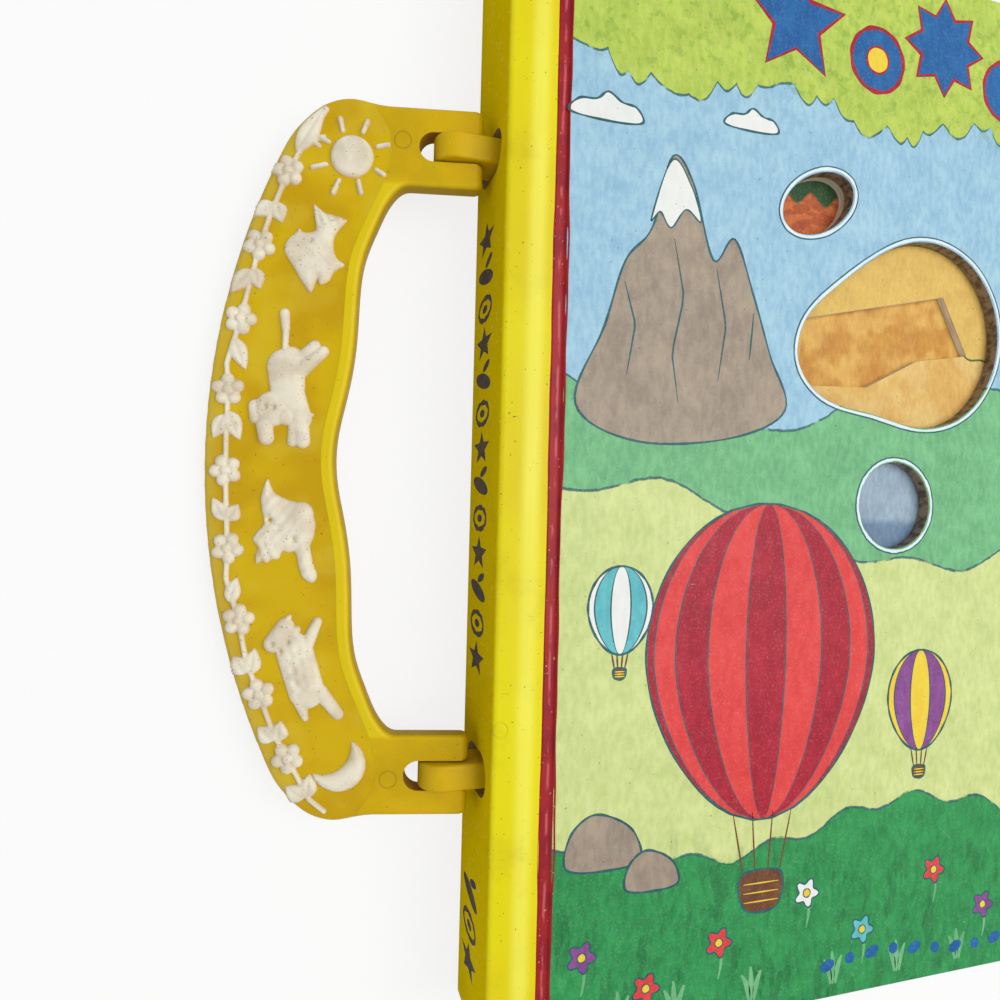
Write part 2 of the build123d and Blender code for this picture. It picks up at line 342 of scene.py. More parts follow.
def laminate(finish, colour):
    """Laminated paper: fine tooth, flecks, rubbed patches and a wandering roughness."""
    bare = linear(232, 228, 214)
    patch = finish.noise(26).step(0.54, 0.68)
    fleck = finish.noise(0.7, 3.0, roughness=0.7).step(0.66, 0.72)
    colour = finish.mix(fleck * patch * 0.3, colour, bare)
    scratch = finish.noise(1.1, stretch=(0.25, 1.6, 1)).step(0.77, 0.8)
    colour = finish.mix(scratch * 0.35, colour, bare)
    finish.link(finish.specks(colour, linear(70, 66, 58), 0.9, 0.735, 0.55), "Base Color")
    finish.link(finish.noise(9) * 0.16 + 0.36, "Roughness")
    tooth = finish.bump(finish.noise(0.28), 0.012)
    finish.bump(finish.noise(7), 0.05, tooth)


def watercolour(finish, colour, size=11, strength=0.54):
    """A wash whose strength wanders in broad pools and fine strokes, with grain from the paper."""
    light = finish.mix(1.0, colour, linear(255, 252, 236), "SOFT_LIGHT")
    deep = finish.mix(0.3, colour, colour, "MULTIPLY")
    pools = finish.noise(size, 5.0, roughness=0.7).step(0.3, 0.72)
    strokes = finish.noise(size * 0.16, 3.0, stretch=(1.0, 0.4, 1.0)).step(0.36, 0.64)
    washed = finish.mix(pools * 0.6 + strokes * 0.4, deep, light)
    grain = finish.noise(0.55).step(0.5, 0.75)
    washed = finish.mix(grain * 0.1, washed, (1, 1, 1))
    return finish.mix(strength, colour, washed)


# ---------------------------------------------------------------- surfaces


def solid(name, points, faces, smooth=False):
    """A closed mesh from points in millimetres; if its signed volume is negative, its faces are turned."""
    mesh = bpy.data.meshes.new(name)
    mesh.from_pydata(np.asarray(points, float) * MM, [], faces)
    mesh.validate()
    mesh.calc_loop_triangles()
    corners = np.empty(len(mesh.loop_triangles) * 3, np.int32)
    mesh.loop_triangles.foreach_get("vertices", corners)
    a, b, c = mesh_points(mesh)[corners.reshape(-1, 3)].transpose(1, 0, 2)
    if np.einsum("ij,ij->i", a, np.cross(b, c)).sum() < 0:
        mesh.flip_normals()
    mesh.polygons.foreach_set("use_smooth", np.full(len(mesh.polygons), smooth))
    mesh.update()
    made = bpy.data.objects.new(name, mesh)
    bpy.context.scene.collection.objects.link(made)
    return made


def mesh_points(mesh):
    """A mesh's points as an array."""
    points = np.empty(len(mesh.vertices) * 3)
    mesh.vertices.foreach_get("co", points)
    return points.reshape(-1, 3)


def smooth_loop(corners, steps=8):
    """A closed curve: between corners p1 and p2 it is the Catmull-Rom cubic of p0, p1, p2 and p3."""
    p1 = np.asarray(corners, float)[:, None]
    p0, p2, p3 = np.roll(p1, 1, 0), np.roll(p1, -1, 0), np.roll(p1, -2, 0)
    t = np.linspace(0, 1, steps, endpoint=False)[None, :, None]
    curve = 2 * p1 + (p2 - p0) * t
    curve = curve + (2 * p0 - 5 * p1 + 4 * p2 - p3) * t**2
    curve = curve + (3 * p1 - p0 - 3 * p2 + p3) * t**3
    return (curve / 2).reshape(-1, 2)


def placed(corners, at, size):
    """A smooth loop of corners given in sizes from a place."""
    return smooth_loop(np.asarray(corners) * size + at)


def ellipse(centre, across, up, lean=0.0, wobble=0.0, lobes=5, points=64):
    """An ellipse turned by lean degrees, whose radius is swollen by 1 + wobble cos(lobes a + 0.6)."""
    a = np.linspace(0, 2 * math.pi, points, endpoint=False)
    swell = 1 + wobble * np.cos(lobes * a + 0.6)
    x, y = across * swell * np.cos(a), up * swell * np.sin(a)
    c, s = math.cos(math.radians(lean)), math.sin(math.radians(lean))
    return np.column_stack([centre[0] + c * x - s * y, centre[1] + s * x + c * y])


def star(centre, outer, inner, arms=5, lean=90.0):
    """A star: the radius goes from outer to inner and back at each half arm."""
    count = np.arange(2 * arms)
    a = math.radians(lean) + count * math.pi / arms
    r = np.where(count % 2 == 0, outer, inner)
    return np.column_stack([centre[0] + r * np.cos(a), centre[1] + r * np.sin(a)])


def sideways(along):
    """Unit vectors at right angles to the given ones."""
    return np.column_stack([along[:, 1], -along[:, 0]]) / np.maximum(np.hypot(*along.T), 1e-9)[:, None]


def grow(loop, by):
    """A closed loop moved outward along the normal of the line between each point's neighbours."""
    normal = sideways(np.roll(loop, -1, 0) - np.roll(loop, 1, 0))
    ahead = np.roll(loop, -1, 0)
    area = np.sum(loop[:, 0] * ahead[:, 1] - ahead[:, 0] * loop[:, 1])
    return loop + normal * by * (1 if area > 0 else -1)


class PrintSheet:
    """Collects printed shapes as thin closed prisms on a flat face, and makes one mesh of them."""

    SUNK = -0.04

    def __init__(self, name, onto, art):
        self.name, self.onto, self.layer, self.line = name, onto, art.layer, art.line
        self.points, self.faces, self.inks, self.count, self.finishes = [], [], [], 0, []

    def take(self, rings, faces, finish):
        """Adds rings of points, and faces given by their numbers."""
        if finish not in self.finishes:
            self.finishes.append(finish)
        self.points.append(np.vstack(rings))
        self.faces += [(np.asarray(face) + self.count).tolist() for face in faces]
        self.inks += [self.finishes.index(finish)] * len(faces)
        self.count += len(self.points[-1])

    def fill(self, loop, finish, level):
        """A filled shape: its loop at the sheet's level and again under the face, joined by a wall."""
        n = len(loop)
        i = np.arange(n)
        j = (i + 1) % n
        rings = [self.onto(loop, level * self.layer), self.onto(loop, self.SUNK)]
        walls = np.column_stack([i, i + n, j + n, j])
        self.take(rings, [i, i[::-1] + n, *walls], finish)

    def outline(self, loop, finish, level, width=None):
        """A drawn line: the band between the loop moved out and in by half the line's wandering width."""
        n = len(loop)
        i = np.arange(n)
        j = (i + 1) % n
        wander = 1 + 0.3 * np.sin(i * 0.9) * np.sin(i * 0.23)
        half = (width or self.line) / 2 * wander[:, None]
        out, inn = grow(loop, half), grow(loop, -half)
        up = level * self.layer
        rings = [self.onto(out, up), self.onto(inn, up), self.onto(inn, self.SUNK), self.onto(out, self.SUNK)]
        sides = ((0, n), (n, 2 * n), (2 * n, 3 * n), (3 * n, 0))
        self.take(rings, np.vstack([np.column_stack([i + a, j + a, j + b, i + b]) for a, b in sides]), finish)

    def draw(self, loop, finish, ink, level, width=None):
        """A filled shape with its outline one layer up."""
        self.fill(loop, finish, level)
        self.outline(loop, ink, level + 1, width)

    def stroke(self, path, finish, level, width=None):
        """An open line: a thin closed band along the path, narrow at both ends."""
        path = np.asarray(path, float)
        taper = np.sin(np.linspace(0.35, math.pi - 0.35, len(path)))
        reach = sideways(np.gradient(path, axis=0)) * (width or self.line) / 2 * taper[:, None]
        self.fill(np.vstack([path + reach, (path - reach)[::-1]]), finish, level)

    def straight(self, start, end, finish, level, width=None):
        """A straight stroke."""
        self.stroke(np.linspace(start, end, 8), finish, level, width)

    def made(self, slot):
        """The sheet's mesh with its inks."""
        made = solid(self.name, np.vstack(self.points), self.faces)
        for finish in self.finishes:
            made.data.materials.append(finish.material)
        made.data.polygons.foreach_set("material_index", np.array(self.inks, np.int32))
        return made


def on_front(loop, height):
    """Places on the front cover: x from the spine's face, y from mid height."""
    return np.column_stack([SPINE_X + loop[:, 0], loop[:, 1], np.full(len(loop), BOOK_TOP + height)])


def on_back(loop, height):
    """Places on the back cover's underside."""
    return np.column_stack([SPINE_X + loop[:, 0], loop[:, 1], np.full(len(loop), -height)])


def on_spine(loop, height):
    """Places on the spine's face: the loop's x runs along the spine and its y up from mid thickness."""
    return np.column_stack([np.full(len(loop), SPINE_X - height), loop[:, 0], BOOK_TOP / 2 + loop[:, 1]])


def on_handle(x, y, z):
    """Places in the handle's plane: x towards the spine from the pins, y along them, z out of its front."""
    c, s = math.cos(DROOP), math.sin(DROOP)
    return np.stack([PIN.x + c * x - s * z, y, PIN.z + s * x + c * z], -1)


def handle_place(finish):
    """The handle's own coordinates: the place less the pins', turned back by the droop."""
    inputs = {"Vector": finish.place, "Location": (PIN.x, 0, PIN.z), "Rotation": (0, -DROOP, 0)}
    return finish.split(finish.field("ShaderNodeMapping", inputs, vector_type="TEXTURE"))


# ---------------------------------------------------------------- case


class BOOK_OT_case(bpy.types.Operator):
    """Yellow laminated paper on the spine and its two strips"""

    bl_idname = "board_book.case"
    bl_label = "Finish the case"

    def paper(self, wrap, across, s):
        """The paper's colour: a painted highlight along the strips' crest, painted shade on the spine's face,
        orange edge, a painted highlight along the spine's front corner, dirt and bare board.
        """
        wash = wrap.mix(wrap.noise(38).step(0.35, 0.7), s.yellow, linear(228, 208, 22))
        # Painted highlight along the crest of both strips, broken by noise.
        crown_highlight = across.step(4.4, 7.2) * across.step(11.0, 8.2)
        wash = wrap.mix(crown_highlight * (wrap.noise(20) * 0.6 + 0.25), wash, s.crown_highlight)
        # Painted shade on the spine's face.
        wash = wrap.mix(across.step(0.5, 0.0), wash, s.spine)
        wash = wrap.mix((across + wrap.noise(8) * 0.3).step(12.1, 12.35), wash, s.orange)
        # Painted highlight: a pale, broken line along the spine's front corner.
        corner_highlight = across.between(-0.2, 0.9, 0.5) * wrap.noise(1.6, 4.0, roughness=0.7).step(0.6, 0.72)
        wash = wrap.mix(corner_highlight * 0.6, wash, linear(244, 238, 160))
        dirt = wrap.noise(16, 5.0, roughness=0.62).step(0.52, 0.78)
        wash = wrap.mix(dirt * 0.22, wash, linear(150, 128, 24))
        inner = across.between(0.02, 40, 0.02) * wrap.z.between(3.3, BOOK_TOP - 3.3, 0.1)
        return wrap.mix(inner, wash, linear(170, 158, 130))

    def execute(self, context):
        s = settings().case
        wrap = Finish("yellow_wrap", 0.34)
        across = wrap.x - SPINE_X
        paper = self.paper(wrap, across, s)
        wrap.link(wrap.specks(paper, s.speck, 0.8, 0.73, 0.7), "Base Color")
        wrap.link(across.step(0.1, 0.6) * 0.16, "Specular IOR Level")
        wrap.link(wrap.noise(5, 3.0) * 0.2 + 0.27, "Roughness")
        tooth = wrap.bump(wrap.noise(0.35), 0.014)
        folds = wrap.bump(wrap.noise(6, stretch=(1, 0.16, 1)), 0.09, tooth)
        dent_across, dent_y, dent_radius = 1.6, -61.5, 1.7
        from_dent = (across - dent_across).apart(wrap.y - dent_y)
        wrap.bump(abs(from_dent - dent_radius).step(0.0, 0.5), 0.16, folds)
        dress("spine_case", wrap)
        return {"FINISHED"}


class BOOK_OT_hinge_wraps(bpy.types.Operator):
    """Red paper that bridges the groove between the case and each cover"""

    bl_idname = "board_book.hinge_wraps"
    bl_label = "Build the hinge wraps"

    # Across the groove from the spine's face, and how deep the paper lies there under the case's top
    ACROSS = (11.86, 12.25, 12.7, 13.4, 14.1, 14.62, 14.9, 15.12, 15.34)
    DEPTH = (0.46, 0.86, 0.86, 0.84, 0.82, 0.7, 0.26, 0.0, -0.03)
    BEND_START = 12.4
    BEND_END = 14.85

    def paper(self, s):
        """Red paper with a painted highlight along the hinge's bend, broken into pieces."""
        red = Finish("hinge_red", 0.4)
        across = red.x - SPINE_X
        # Painted highlight: a pale, broken line along the bend of the red paper.
        line = abs(across - red.wave(red.y, 13.6, (0.16, 90, 0.4), (0.1, 31, 2.0)))
        bend_highlight = line.step(0.44, 0.16) * red.noise(2.2, 3.0, stretch=(1, 0.35, 1)).step(0.44, 0.56)
        base = red.mix(red.noise(7, 3.0).step(0.4, 0.66), s.red, linear(150, 30, 44))
        base = red.mix(bend_highlight * 0.9, base, s.red_bend_highlight)
        red.link(red.specks(base, linear(236, 196, 150), 0.9, 0.72, 0.5), "Base Color")
        red.bump(red.noise(0.5), 0.03, red.bump(red.noise(2.6, stretch=(1, 0.3, 1)), 0.08))
        return red

    def sheet(self, s):
        """The paper's closed section carried along y: half the thickness each side of the dipping line."""
        run = np.linspace(self.ACROSS[0], self.ACROSS[-1], 34)
        dip = np.pad(np.interp(run, self.ACROSS, self.DEPTH), 2, mode="edge")
        dip = np.convolve(dip, [0.1, 0.2, 0.4, 0.2, 0.1], "valid")
        y = np.linspace(-HALF_HEIGHT + 0.15, HALF_HEIGHT - 0.15, 221)[:, None]
        wander = s.wave * (np.sin(y / 19) + 0.6 * np.sin(y / 7.3 + 1) + 0.35 * np.sin(y / 2.9 + 2)) / 1.6
        at_edges = np.clip((run - 14.7) / 0.6, 0, 1) - np.clip((12.2 - run) / 0.35, 0, 1)
        x = SPINE_X + run + wander * at_edges
        slope = np.gradient(-dip, run)
        normal = np.stack([-slope, 0 * run, np.ones_like(slope)], -1) / np.hypot(slope, 1)[:, None]
        middle = np.stack(np.broadcast_arrays(x, y, BOOK_TOP - dip), -1)
        outer = middle + normal * s.wrap_thickness / 2
        under = middle - normal * s.wrap_thickness / 2
        return np.concatenate([outer, under[:, ::-1]], 1)

    def execute(self, context):
        s = settings().case
        red = self.paper(s)
        front = self.sheet(s)
        back = front * (1, 1, -1) + (0, 0, BOOK_TOP)
        rows, cols = front.shape[:2]
        i = np.arange(rows - 1)[:, None] * cols
        j = np.arange(cols)[None]
        k = (j + 1) % cols
        sides = np.stack([i + j, i + k, i + cols + k, i + cols + j], -1).reshape(-1, 4)
        caps = [list(range(cols)), list(range((rows - 1) * cols, rows * cols))[::-1]]
        for name, body, points, level in (
            ("hinge_wrap_front", "front_cover", front, BOOK_TOP * MM),
            ("hinge_wrap_back", "back_cover", back, 0.0),
        ):
            made = solid(name, points.reshape(-1, 3), sides.tolist() + caps, smooth=True)
            made.data.materials.append(red.material)
            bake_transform(made)
        return {"FINISHED"}


# ---------------------------------------------------------------- prints


def cover_fields(sheet, fields, sky, ink):
    """Bands of colour, each beyond a wavy drawn line. A band over its line has scalloped edges."""
    across = sheet.x - SPINE_X
    height = sheet.y + (sheet.noise(2.4, 3.0) - 0.5)
    drawn = sheet.noise(4).step(0.3, 0.46)
    picture = sky
    for under, base, sines, colour in fields:
        edge = sheet.wave(across, base, *sines)
        if not under:
            turn = sheet.wave(across, across * (math.pi / 7.5), (0.8, 29, 0.0))
            edge = edge - abs(turn.math("SINE", turn)) * 2.6
        within = (edge - height) * (1.0 if under else -1.0)
        picture = sheet.mix(within.step(-0.06, 0.06), picture, colour)
        picture = sheet.mix(abs(within).step(0.42, 0.26) * drawn * 0.9, picture, ink)
    return picture


class BOOK_OT_cover_print(bpy.types.Operator):
    """Printed front and back covers: bands of colour on the boards and shapes in thin print layers"""

    bl_idname = "board_book.cover_print"
    bl_label = "Print the covers"

    INKS = "hill ink stone snow red dark_red turquoise purple brown sun blue core"
    CLOUD = [
        (-1.5, -0.28), (-1.15, 0.28), (-0.4, 0.4), (0.1, 0.76),
        (0.7, 0.44), (1.35, 0.32), (1.6, -0.24), (0.3, -0.4),
    ]
    ROCK = [(-1, -0.5), (-0.9, 0.3), (-0.35, 0.75), (0.3, 0.62), (0.85, 0.2), (1, -0.5), (0, -0.66)]
    MOUNTAIN = [
        (18, 14), (25, 33), (30, 49), (37, 58), (42, 76), (48, 70), (54, 52),
        (60, 58), (66, 44), (71, 30), (76, 16), (60, 8), (34, 6),
    ]
    FAR_MOUNTAIN = [
        (152, 12), (160, 34), (170, 52), (178, 44), (188, 66),
        (198, 40), (210, 26), (217, 10), (190, 4),
    ]
    SNOW_CAP = [(36.6, 60), (42, 75.2), (47.6, 69), (50.2, 61), (46, 63.5), (42, 58.5), (39, 62)]
    CREASES = (
        [(30, 44), (33, 34), (31, 22)], [(43, 56), (46, 42), (43, 28), (45, 16)],
        [(55, 50), (58, 36), (56, 22)], [(66, 40), (65, 28)],
    )
    CLOUDS = (((24, 84), 6), ((64, 88), 5), ((166, 84), 8), ((204, 88), 6))
    ROCKS = (((28, -90), 9.5), ((41, -98), 7), ((196, -96), 10), ((180, -102), 7))
    BLOOMS = (
        (60, -118), (23, -116), (86, -109), (104, -121), (128, -108),
        (146, -120), (160, -104), (200, -118), (40, -126),
    )
    TUFTS = (20, 33, 48, 70, 95, 116, 137, 172, 186, 214)

    def front_board(self, s):
        """The front board: sky, leafy head border, hill, meadow, grass, lining and cut edges, whose window
        walls carry painted shade.
        """
        front = Finish("cover_board_print", 0.42)
        fields = (
            (False, 97.0, [(3.6, 64, 0.5), (1.5, 17, 0.0)], s.lime),
            (True, 18.0, [(9.0, 150, 2.4), (2.2, 47, 0.0)], s.hill),
            (True, -14.0, [(10.0, 190, 0.6), (2.0, 38, 1.0)], s.meadow),
            (True, -92.0, [(5.0, 120, 1.6), (1.6, 23, 0.0)], s.grass),
        )
        picture = cover_fields(front, fields, s.sky, s.ink)
        lush = front.noise(3.4, 3.0, stretch=(1.0, 0.28, 1.0)).step(0.55, 0.62) * front.y.step(-84, -110)
        picture = front.mix(lush * 0.5, picture, linear(34, 104, 58))
        leaves = front.noise(2.7, 3.0).step(0.56, 0.6) * front.y.step(92, 100)
        picture = front.mix(leaves * 0.3, picture, linear(92, 150, 40))
        picture = watercolour(front, picture, 9, 0.6)
        # The windows' cut walls: brown board, darkened further as painted shade.
        rim = front.mix(front.noise(2.0, 3.0).step(0.4, 0.64), linear(150, 132, 112), linear(98, 82, 68))
        outside = abs(front.y).step(135.8, 136.4).larger(front.x.step(112.2, 112.8))
        rim = front.mix(outside, rim, linear(196, 190, 96))
        inward = front.split(front.coords["Normal"])[2].step(-0.6, -0.8)
        rim = front.mix(inward, rim, watercolour(front, s.lining, 14, 0.5))
        core = front.z.step(BOOK_TOP - 0.12, BOOK_TOP - 0.22)
        laminate(front, front.mix(core, picture, rim))
        dress("front_cover", front)

    def back_board(self, s):
        """The back board: meadow sky, leafy head border, hill and grass, with pale edges."""
        back = Finish("back_board_print", 0.42)
        fields = (
            (False, 112.0, [(3.0, 60, 0.5), (2.0, 10.5, 0.0)], s.lime),
            (True, -60.0, [(9.0, 170, 2.4), (2.2, 47, 0.0)], s.hill),
            (True, -96.0, [(5.0, 120, 1.6), (1.6, 23, 0.0)], s.grass),
        )
        picture = watercolour(back, cover_fields(back, fields, s.meadow, s.ink), 12, 0.6)
        laminate(back, back.mix(back.z.step(0.4, 0.6), picture, linear(214, 208, 190)))
        dress("back_cover", back)

    def balloon(self, sheet, inks, centre, across, up, gores, light, dark, level):
        """A balloon: at height v its half width is across sqrt(1 - v^2), drawn in below the middle, and its
        gores' edges stand at the sines of even angles."""
        v = np.linspace(0.995, -0.995, 40)
        width = across * np.sqrt(1 - v**2) * (1 - 0.16 * np.clip(-v, 0, 1) ** 1.5)
        height = centre[1] + up * np.where(v < 0, v * 1.12, v)
        turns = np.sin(np.linspace(-math.pi / 2, math.pi / 2, gores + 1))
        edges = [np.column_stack([centre[0] + width * turn, height]) for turn in turns]
        for k, (left, right) in enumerate(zip(edges, edges[1:])):
            sheet.fill(np.vstack([left, right[::-1]]), inks[light] if k % 2 else inks[dark], level)
            if k:
                sheet.stroke(left, inks["ink"], level + 1, 0.4)
        sheet.outline(np.vstack([edges[0], edges[-1][::-1]]), inks["ink"], level + 2)
        size = across * 0.17
        foot = np.array([centre[0], height[-1]])
        for side in (-1, -0.35, 0.35, 1):
            rope_top = foot + (side * size * 1.5, 0.05 * up)
            sheet.straight(rope_top, foot + (side * size * 0.9, -2.5 * size), inks["brown"], level, 0.45)
        basket = placed([(-1, -2.4), (1, -2.4), (0.8, -3.9), (-0.8, -3.9)], foot, size)
        sheet.draw(basket, inks["brown"], inks["ink"], level + 1)
        for row in (-2.8, -3.2, -3.6):
            ends = foot + np.array([(-0.9, row), (0.9, row)]) * size
            sheet.straight(*ends, inks["sun"], level + 3, 0.35)

    def landscape(self, sheet, inks):
        """Clouds, two mountains and rocks."""
        ink = inks["ink"]
        for at, size in self.CLOUDS:
            sheet.draw(placed(self.CLOUD, at, size), inks["snow"], ink, 1)
        sheet.draw(smooth_loop(self.MOUNTAIN), inks["stone"], ink, 1)
        sheet.draw(smooth_loop(self.SNOW_CAP), inks["snow"], ink, 3, 0.4)
        for crease in self.CREASES:
            path = np.asarray(crease, float)
            at = np.linspace(0, len(path) - 1, 14)
            path = np.column_stack([np.interp(at, range(len(path)), path[:, c]) for c in (0, 1)])
            sheet.stroke(path, ink, 3, 0.5)
        sheet.draw(smooth_loop(self.FAR_MOUNTAIN), inks["stone"], ink, 1)
        for count, (at, size) in enumerate(self.ROCKS):
            sheet.draw(placed(self.ROCK, at, size), inks["stone"], ink, 2 + count % 2 * 3)

    def garden(self, sheet, inks):
        """Flowers on bent stems, tufts of three blades, and a row of dots at the foot."""
        t = np.linspace(0, 1, 8)
        for count, at in enumerate(self.BLOOMS):
            petal = inks[("red", "purple", "snow", "turquoise")[count % 4]]
            stem = np.column_stack([at[0] + 0.8 * np.sin(3 * t), at[1] - 9 * (1 - t)])
            sheet.stroke(stem, inks["hill"], 1, 0.8)
            sheet.draw(ellipse(at, 3.1, 3.1, wobble=0.24, points=60), petal, inks["ink"], 2, 0.4)
            sheet.draw(ellipse(at, 1.1, 1.1, points=24), inks["sun"], inks["ink"], 4, 0.3)
        t = np.linspace(0, 1, 9)
        for at in self.TUFTS:
            for lean in (-2.2, -0.4, 1.8):
                blade = np.column_stack([at + lean * t**2 + lean * 0.4, -134 + (9 - abs(lean)) * t])
                sheet.stroke(blade, inks["hill"], 1, 1.5)
        for count in range(11):
            at = (93 + 7.2 * count, -129 + 1.6 * math.sin(count * 0.7))
            sheet.fill(ellipse(at, 1.5 if count % 2 else 2.3, 1.5, 24, points=24), inks["blue"], 3)

    def head_band(self, sheet, inks):
        """Blue stars and rings with red outlines across the head."""
        rings = [ellipse((x, 112), 8.6, 8.6) for x in (103, 149)]
        stars = [star((x, 117), 15.5, 7.2) for x in (77, 175)]
        for loop in (*rings, *stars, star((126, 120), 13.5, 8.8, 8, 0)):
            sheet.draw(loop, inks["blue"], inks["dark_red"], 2, 1.1)
        sheet.draw(ellipse((103, 112), 3.6, 3.6, points=36), inks["sun"], inks["dark_red"], 4, 0.6)

    def window_rims(self):
        """The windows' outlines: the cover's top points near each middle, in order of angle about it."""
        at = np.unique((mesh_points(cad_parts["front_cover"].data) / MM).round(3), axis=0)
        at = at[at[:, 2] > BOOK_TOP - 0.01, :2] - (SPINE_X, 0)
        rims = []
        for centre, reach in WINDOWS:
            away = at - centre
            near = np.hypot(*away.T) < reach
            rims.append(at[near][np.argsort(np.arctan2(away[near, 1], away[near, 0]))])
            at = at[~near]
        return rims

    def execute(self, context):
        s = settings().art
        self.front_board(s)
        self.back_board(s)
        inks = {}
        for name in self.INKS.split():
            inks[name] = Finish("print_" + name, 0.42)
            laminate(inks[name], watercolour(inks[name], getattr(s, name)))
        sheet = PrintSheet("front_picture", on_front, s)
        self.landscape(sheet, inks)
        self.balloon(sheet, inks, (72, -46), 34, 38, s.gores, "red", "dark_red", 3)
        self.balloon(sheet, inks, (31, -34), 8.5, 10, 5, "turquoise", "snow", 5)
        self.balloon(sheet, inks, (122, -60), 11, 13, 5, "purple", "sun", 3)
        self.balloon(sheet, inks, (176, -8), 20, 23, 7, "turquoise", "sun", 3)
        self.garden(sheet, inks)
        self.head_band(sheet, inks)
        for rim in self.window_rims():
            # A pale line along each window's cut edge: partly the board's core, partly a painted highlight.
            sheet.outline(grow(rim, 0.38), inks["core"], 7, 0.7)
            sheet.outline(grow(rim, 0.95), inks["ink"], 6, 0.35)
        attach(sheet.made("printed_board"), "front_cover")
        back = PrintSheet("back_picture", on_back, s)
        self.balloon(back, inks, (121, 22), 40, 46, s.gores, "red", "dark_red", 2)
        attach(back.made("printed_board"), "back_cover")
        return {"FINISHED"}


class BOOK_OT_spine_print(bpy.types.Operator):
    """A row of plain shapes printed along the spine's face"""

    bl_idname = "board_book.spine_print"
    bl_label = "Print the spine"

    PITCH = 8.7
    LOW = -2.4
    # For each row: where it starts along the spine, its number of shapes and the first one's kind
    ROWS = ((56, 13, 0), (-106, 3, 1))

    def execute(self, context):
        dark = Finish("print_spine_dark", 0.4, **{"Specular IOR Level": 0.06})
        laminate(dark, dark.mix(dark.noise(3.0).step(0.4, 0.6), linear(52, 50, 66), linear(84, 66, 26)))
        sheet = PrintSheet("spine_picture", on_spine, settings().art)
        for first, number, offset in self.ROWS:
            for count in range(number):
                at = np.array([first - self.PITCH * count, self.LOW])
                kind = (count + offset) % 3
                if kind == 0:
                    sheet.fill(star((0, 0), 4.3, 1.9, 5, 0) * (1, 1.75) + at, dark, 1)
                elif kind == 1:
                    sheet.fill(ellipse(at + (-0.6, 0), 1.9, 7.0, 12), dark, 1)
                    sheet.fill(ellipse(at + (2.8, 2.6), 1.0, 3.2, -16, points=32), dark, 1)
                else:
                    sheet.outline(ellipse(at, 2.7, 5.8), dark, 1, 1.3)
                    sheet.fill(ellipse(at, 1.0, 2.2, points=24), dark, 1)
        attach(sheet.made("yellow_wrap"), "block")
        return {"FINISHED"}


class BOOK_OT_pages(bpy.types.Operator):
    """Printed leaves and their layered edges"""

    bl_idname = "board_book.pages"
    bl_label = "Finish the pages"

    def first_leaf(self, page, across, s):
        """The top leaf: tan, with a drawn hill and a blue band."""
        tan = page.mix(page.noise(14, 3.0).step(0.4, 0.62), s.page, linear(228, 190, 118))
        over = page.y - page.wave(across, 38.0, (3.6, 40, 0.5), (0.8, 11, 0.0))
        leaf = page.mix(over.step(-0.1, 0.1), tan, linear(222, 182, 96))
        leaf = page.mix(abs(over).step(0.4, 0.2), leaf, linear(70, 110, 60))
        leaf = page.mix(page.y.between(-30, 9, 0.4), leaf, linear(150, 172, 192))
        return page.mix(page.y.between(-26, -12, 1.5), leaf, linear(104, 130, 160))

    def second_leaf(self, page, across, s):
        """The leaf under it: orange with a green head by the small window, and amber by the large one."""
        streaks = page.noise(5, 3.0, stretch=(1, 2.2, 1)).step(0.44, 0.56)
        leaf = page.mix(streaks, s.page_warm, linear(206, 110, 60))
        leaf = page.mix(page.wave(across, page.y, (1.6, 9, 0.4)).step(73.5, 75), leaf, linear(44, 78, 44))
        amber = page.mix(page.noise(9).step(0.4, 0.6), linear(222, 172, 90), linear(200, 140, 62))
        return page.mix(page.y.step(58, 57), leaf, amber)

    def edges(self, page):
        """The cut edges: fibrous board with a dark seam between leaves and a faint green stain."""
        leaf = (PAGE_TOP - (BOOK_TOP - PAGE_TOP)) / LEAVES
        turn = (page.z - PAGE_TOP) * (2 * math.pi / leaf)
        seam = turn.math("COSINE", turn).step(0.9, 0.99)
        fibre = page.noise(3, 3.0, stretch=(0.3, 0.3, 4)).step(0.42, 0.66)
        edge = page.mix(fibre, linear(232, 228, 214), linear(206, 196, 174))
        edge = page.mix(seam * 0.8, edge, linear(120, 100, 70))
        return page.mix(page.noise(12, 3.0).step(0.56, 0.7) * 0.35, edge, linear(150, 178, 150))

    def execute(self, context):
        s = settings().art
        page = Finish("page_board", 0.5)
        across = page.x - SPINE_X
        top = page.z.step(PAGE_TOP - 1.2, PAGE_TOP - 0.8)
        picture = page.mix(top, self.second_leaf(page, across, s), self.first_leaf(page, across, s))
        picture = watercolour(page, picture, 6, 0.5)
        flat = abs(page.split(page.coords["Normal"])[2]).step(0.6, 0.8)
        board = page.mix(flat, self.edges(page), picture)
        page.link(page.specks(board, linear(90, 80, 60), 0.8, 0.74, 0.5), "Base Color")
        page.link(page.noise(3) * 0.25 + 0.4, "Roughness")
        page.bump(page.noise(0.4), 0.02, page.bump(page.noise(2.2, stretch=(0.2, 0.2, 3)), 0.05))
        dress("page_block", page)
        return {"FINISHED"}


# ---------------------------------------------------------------- handle


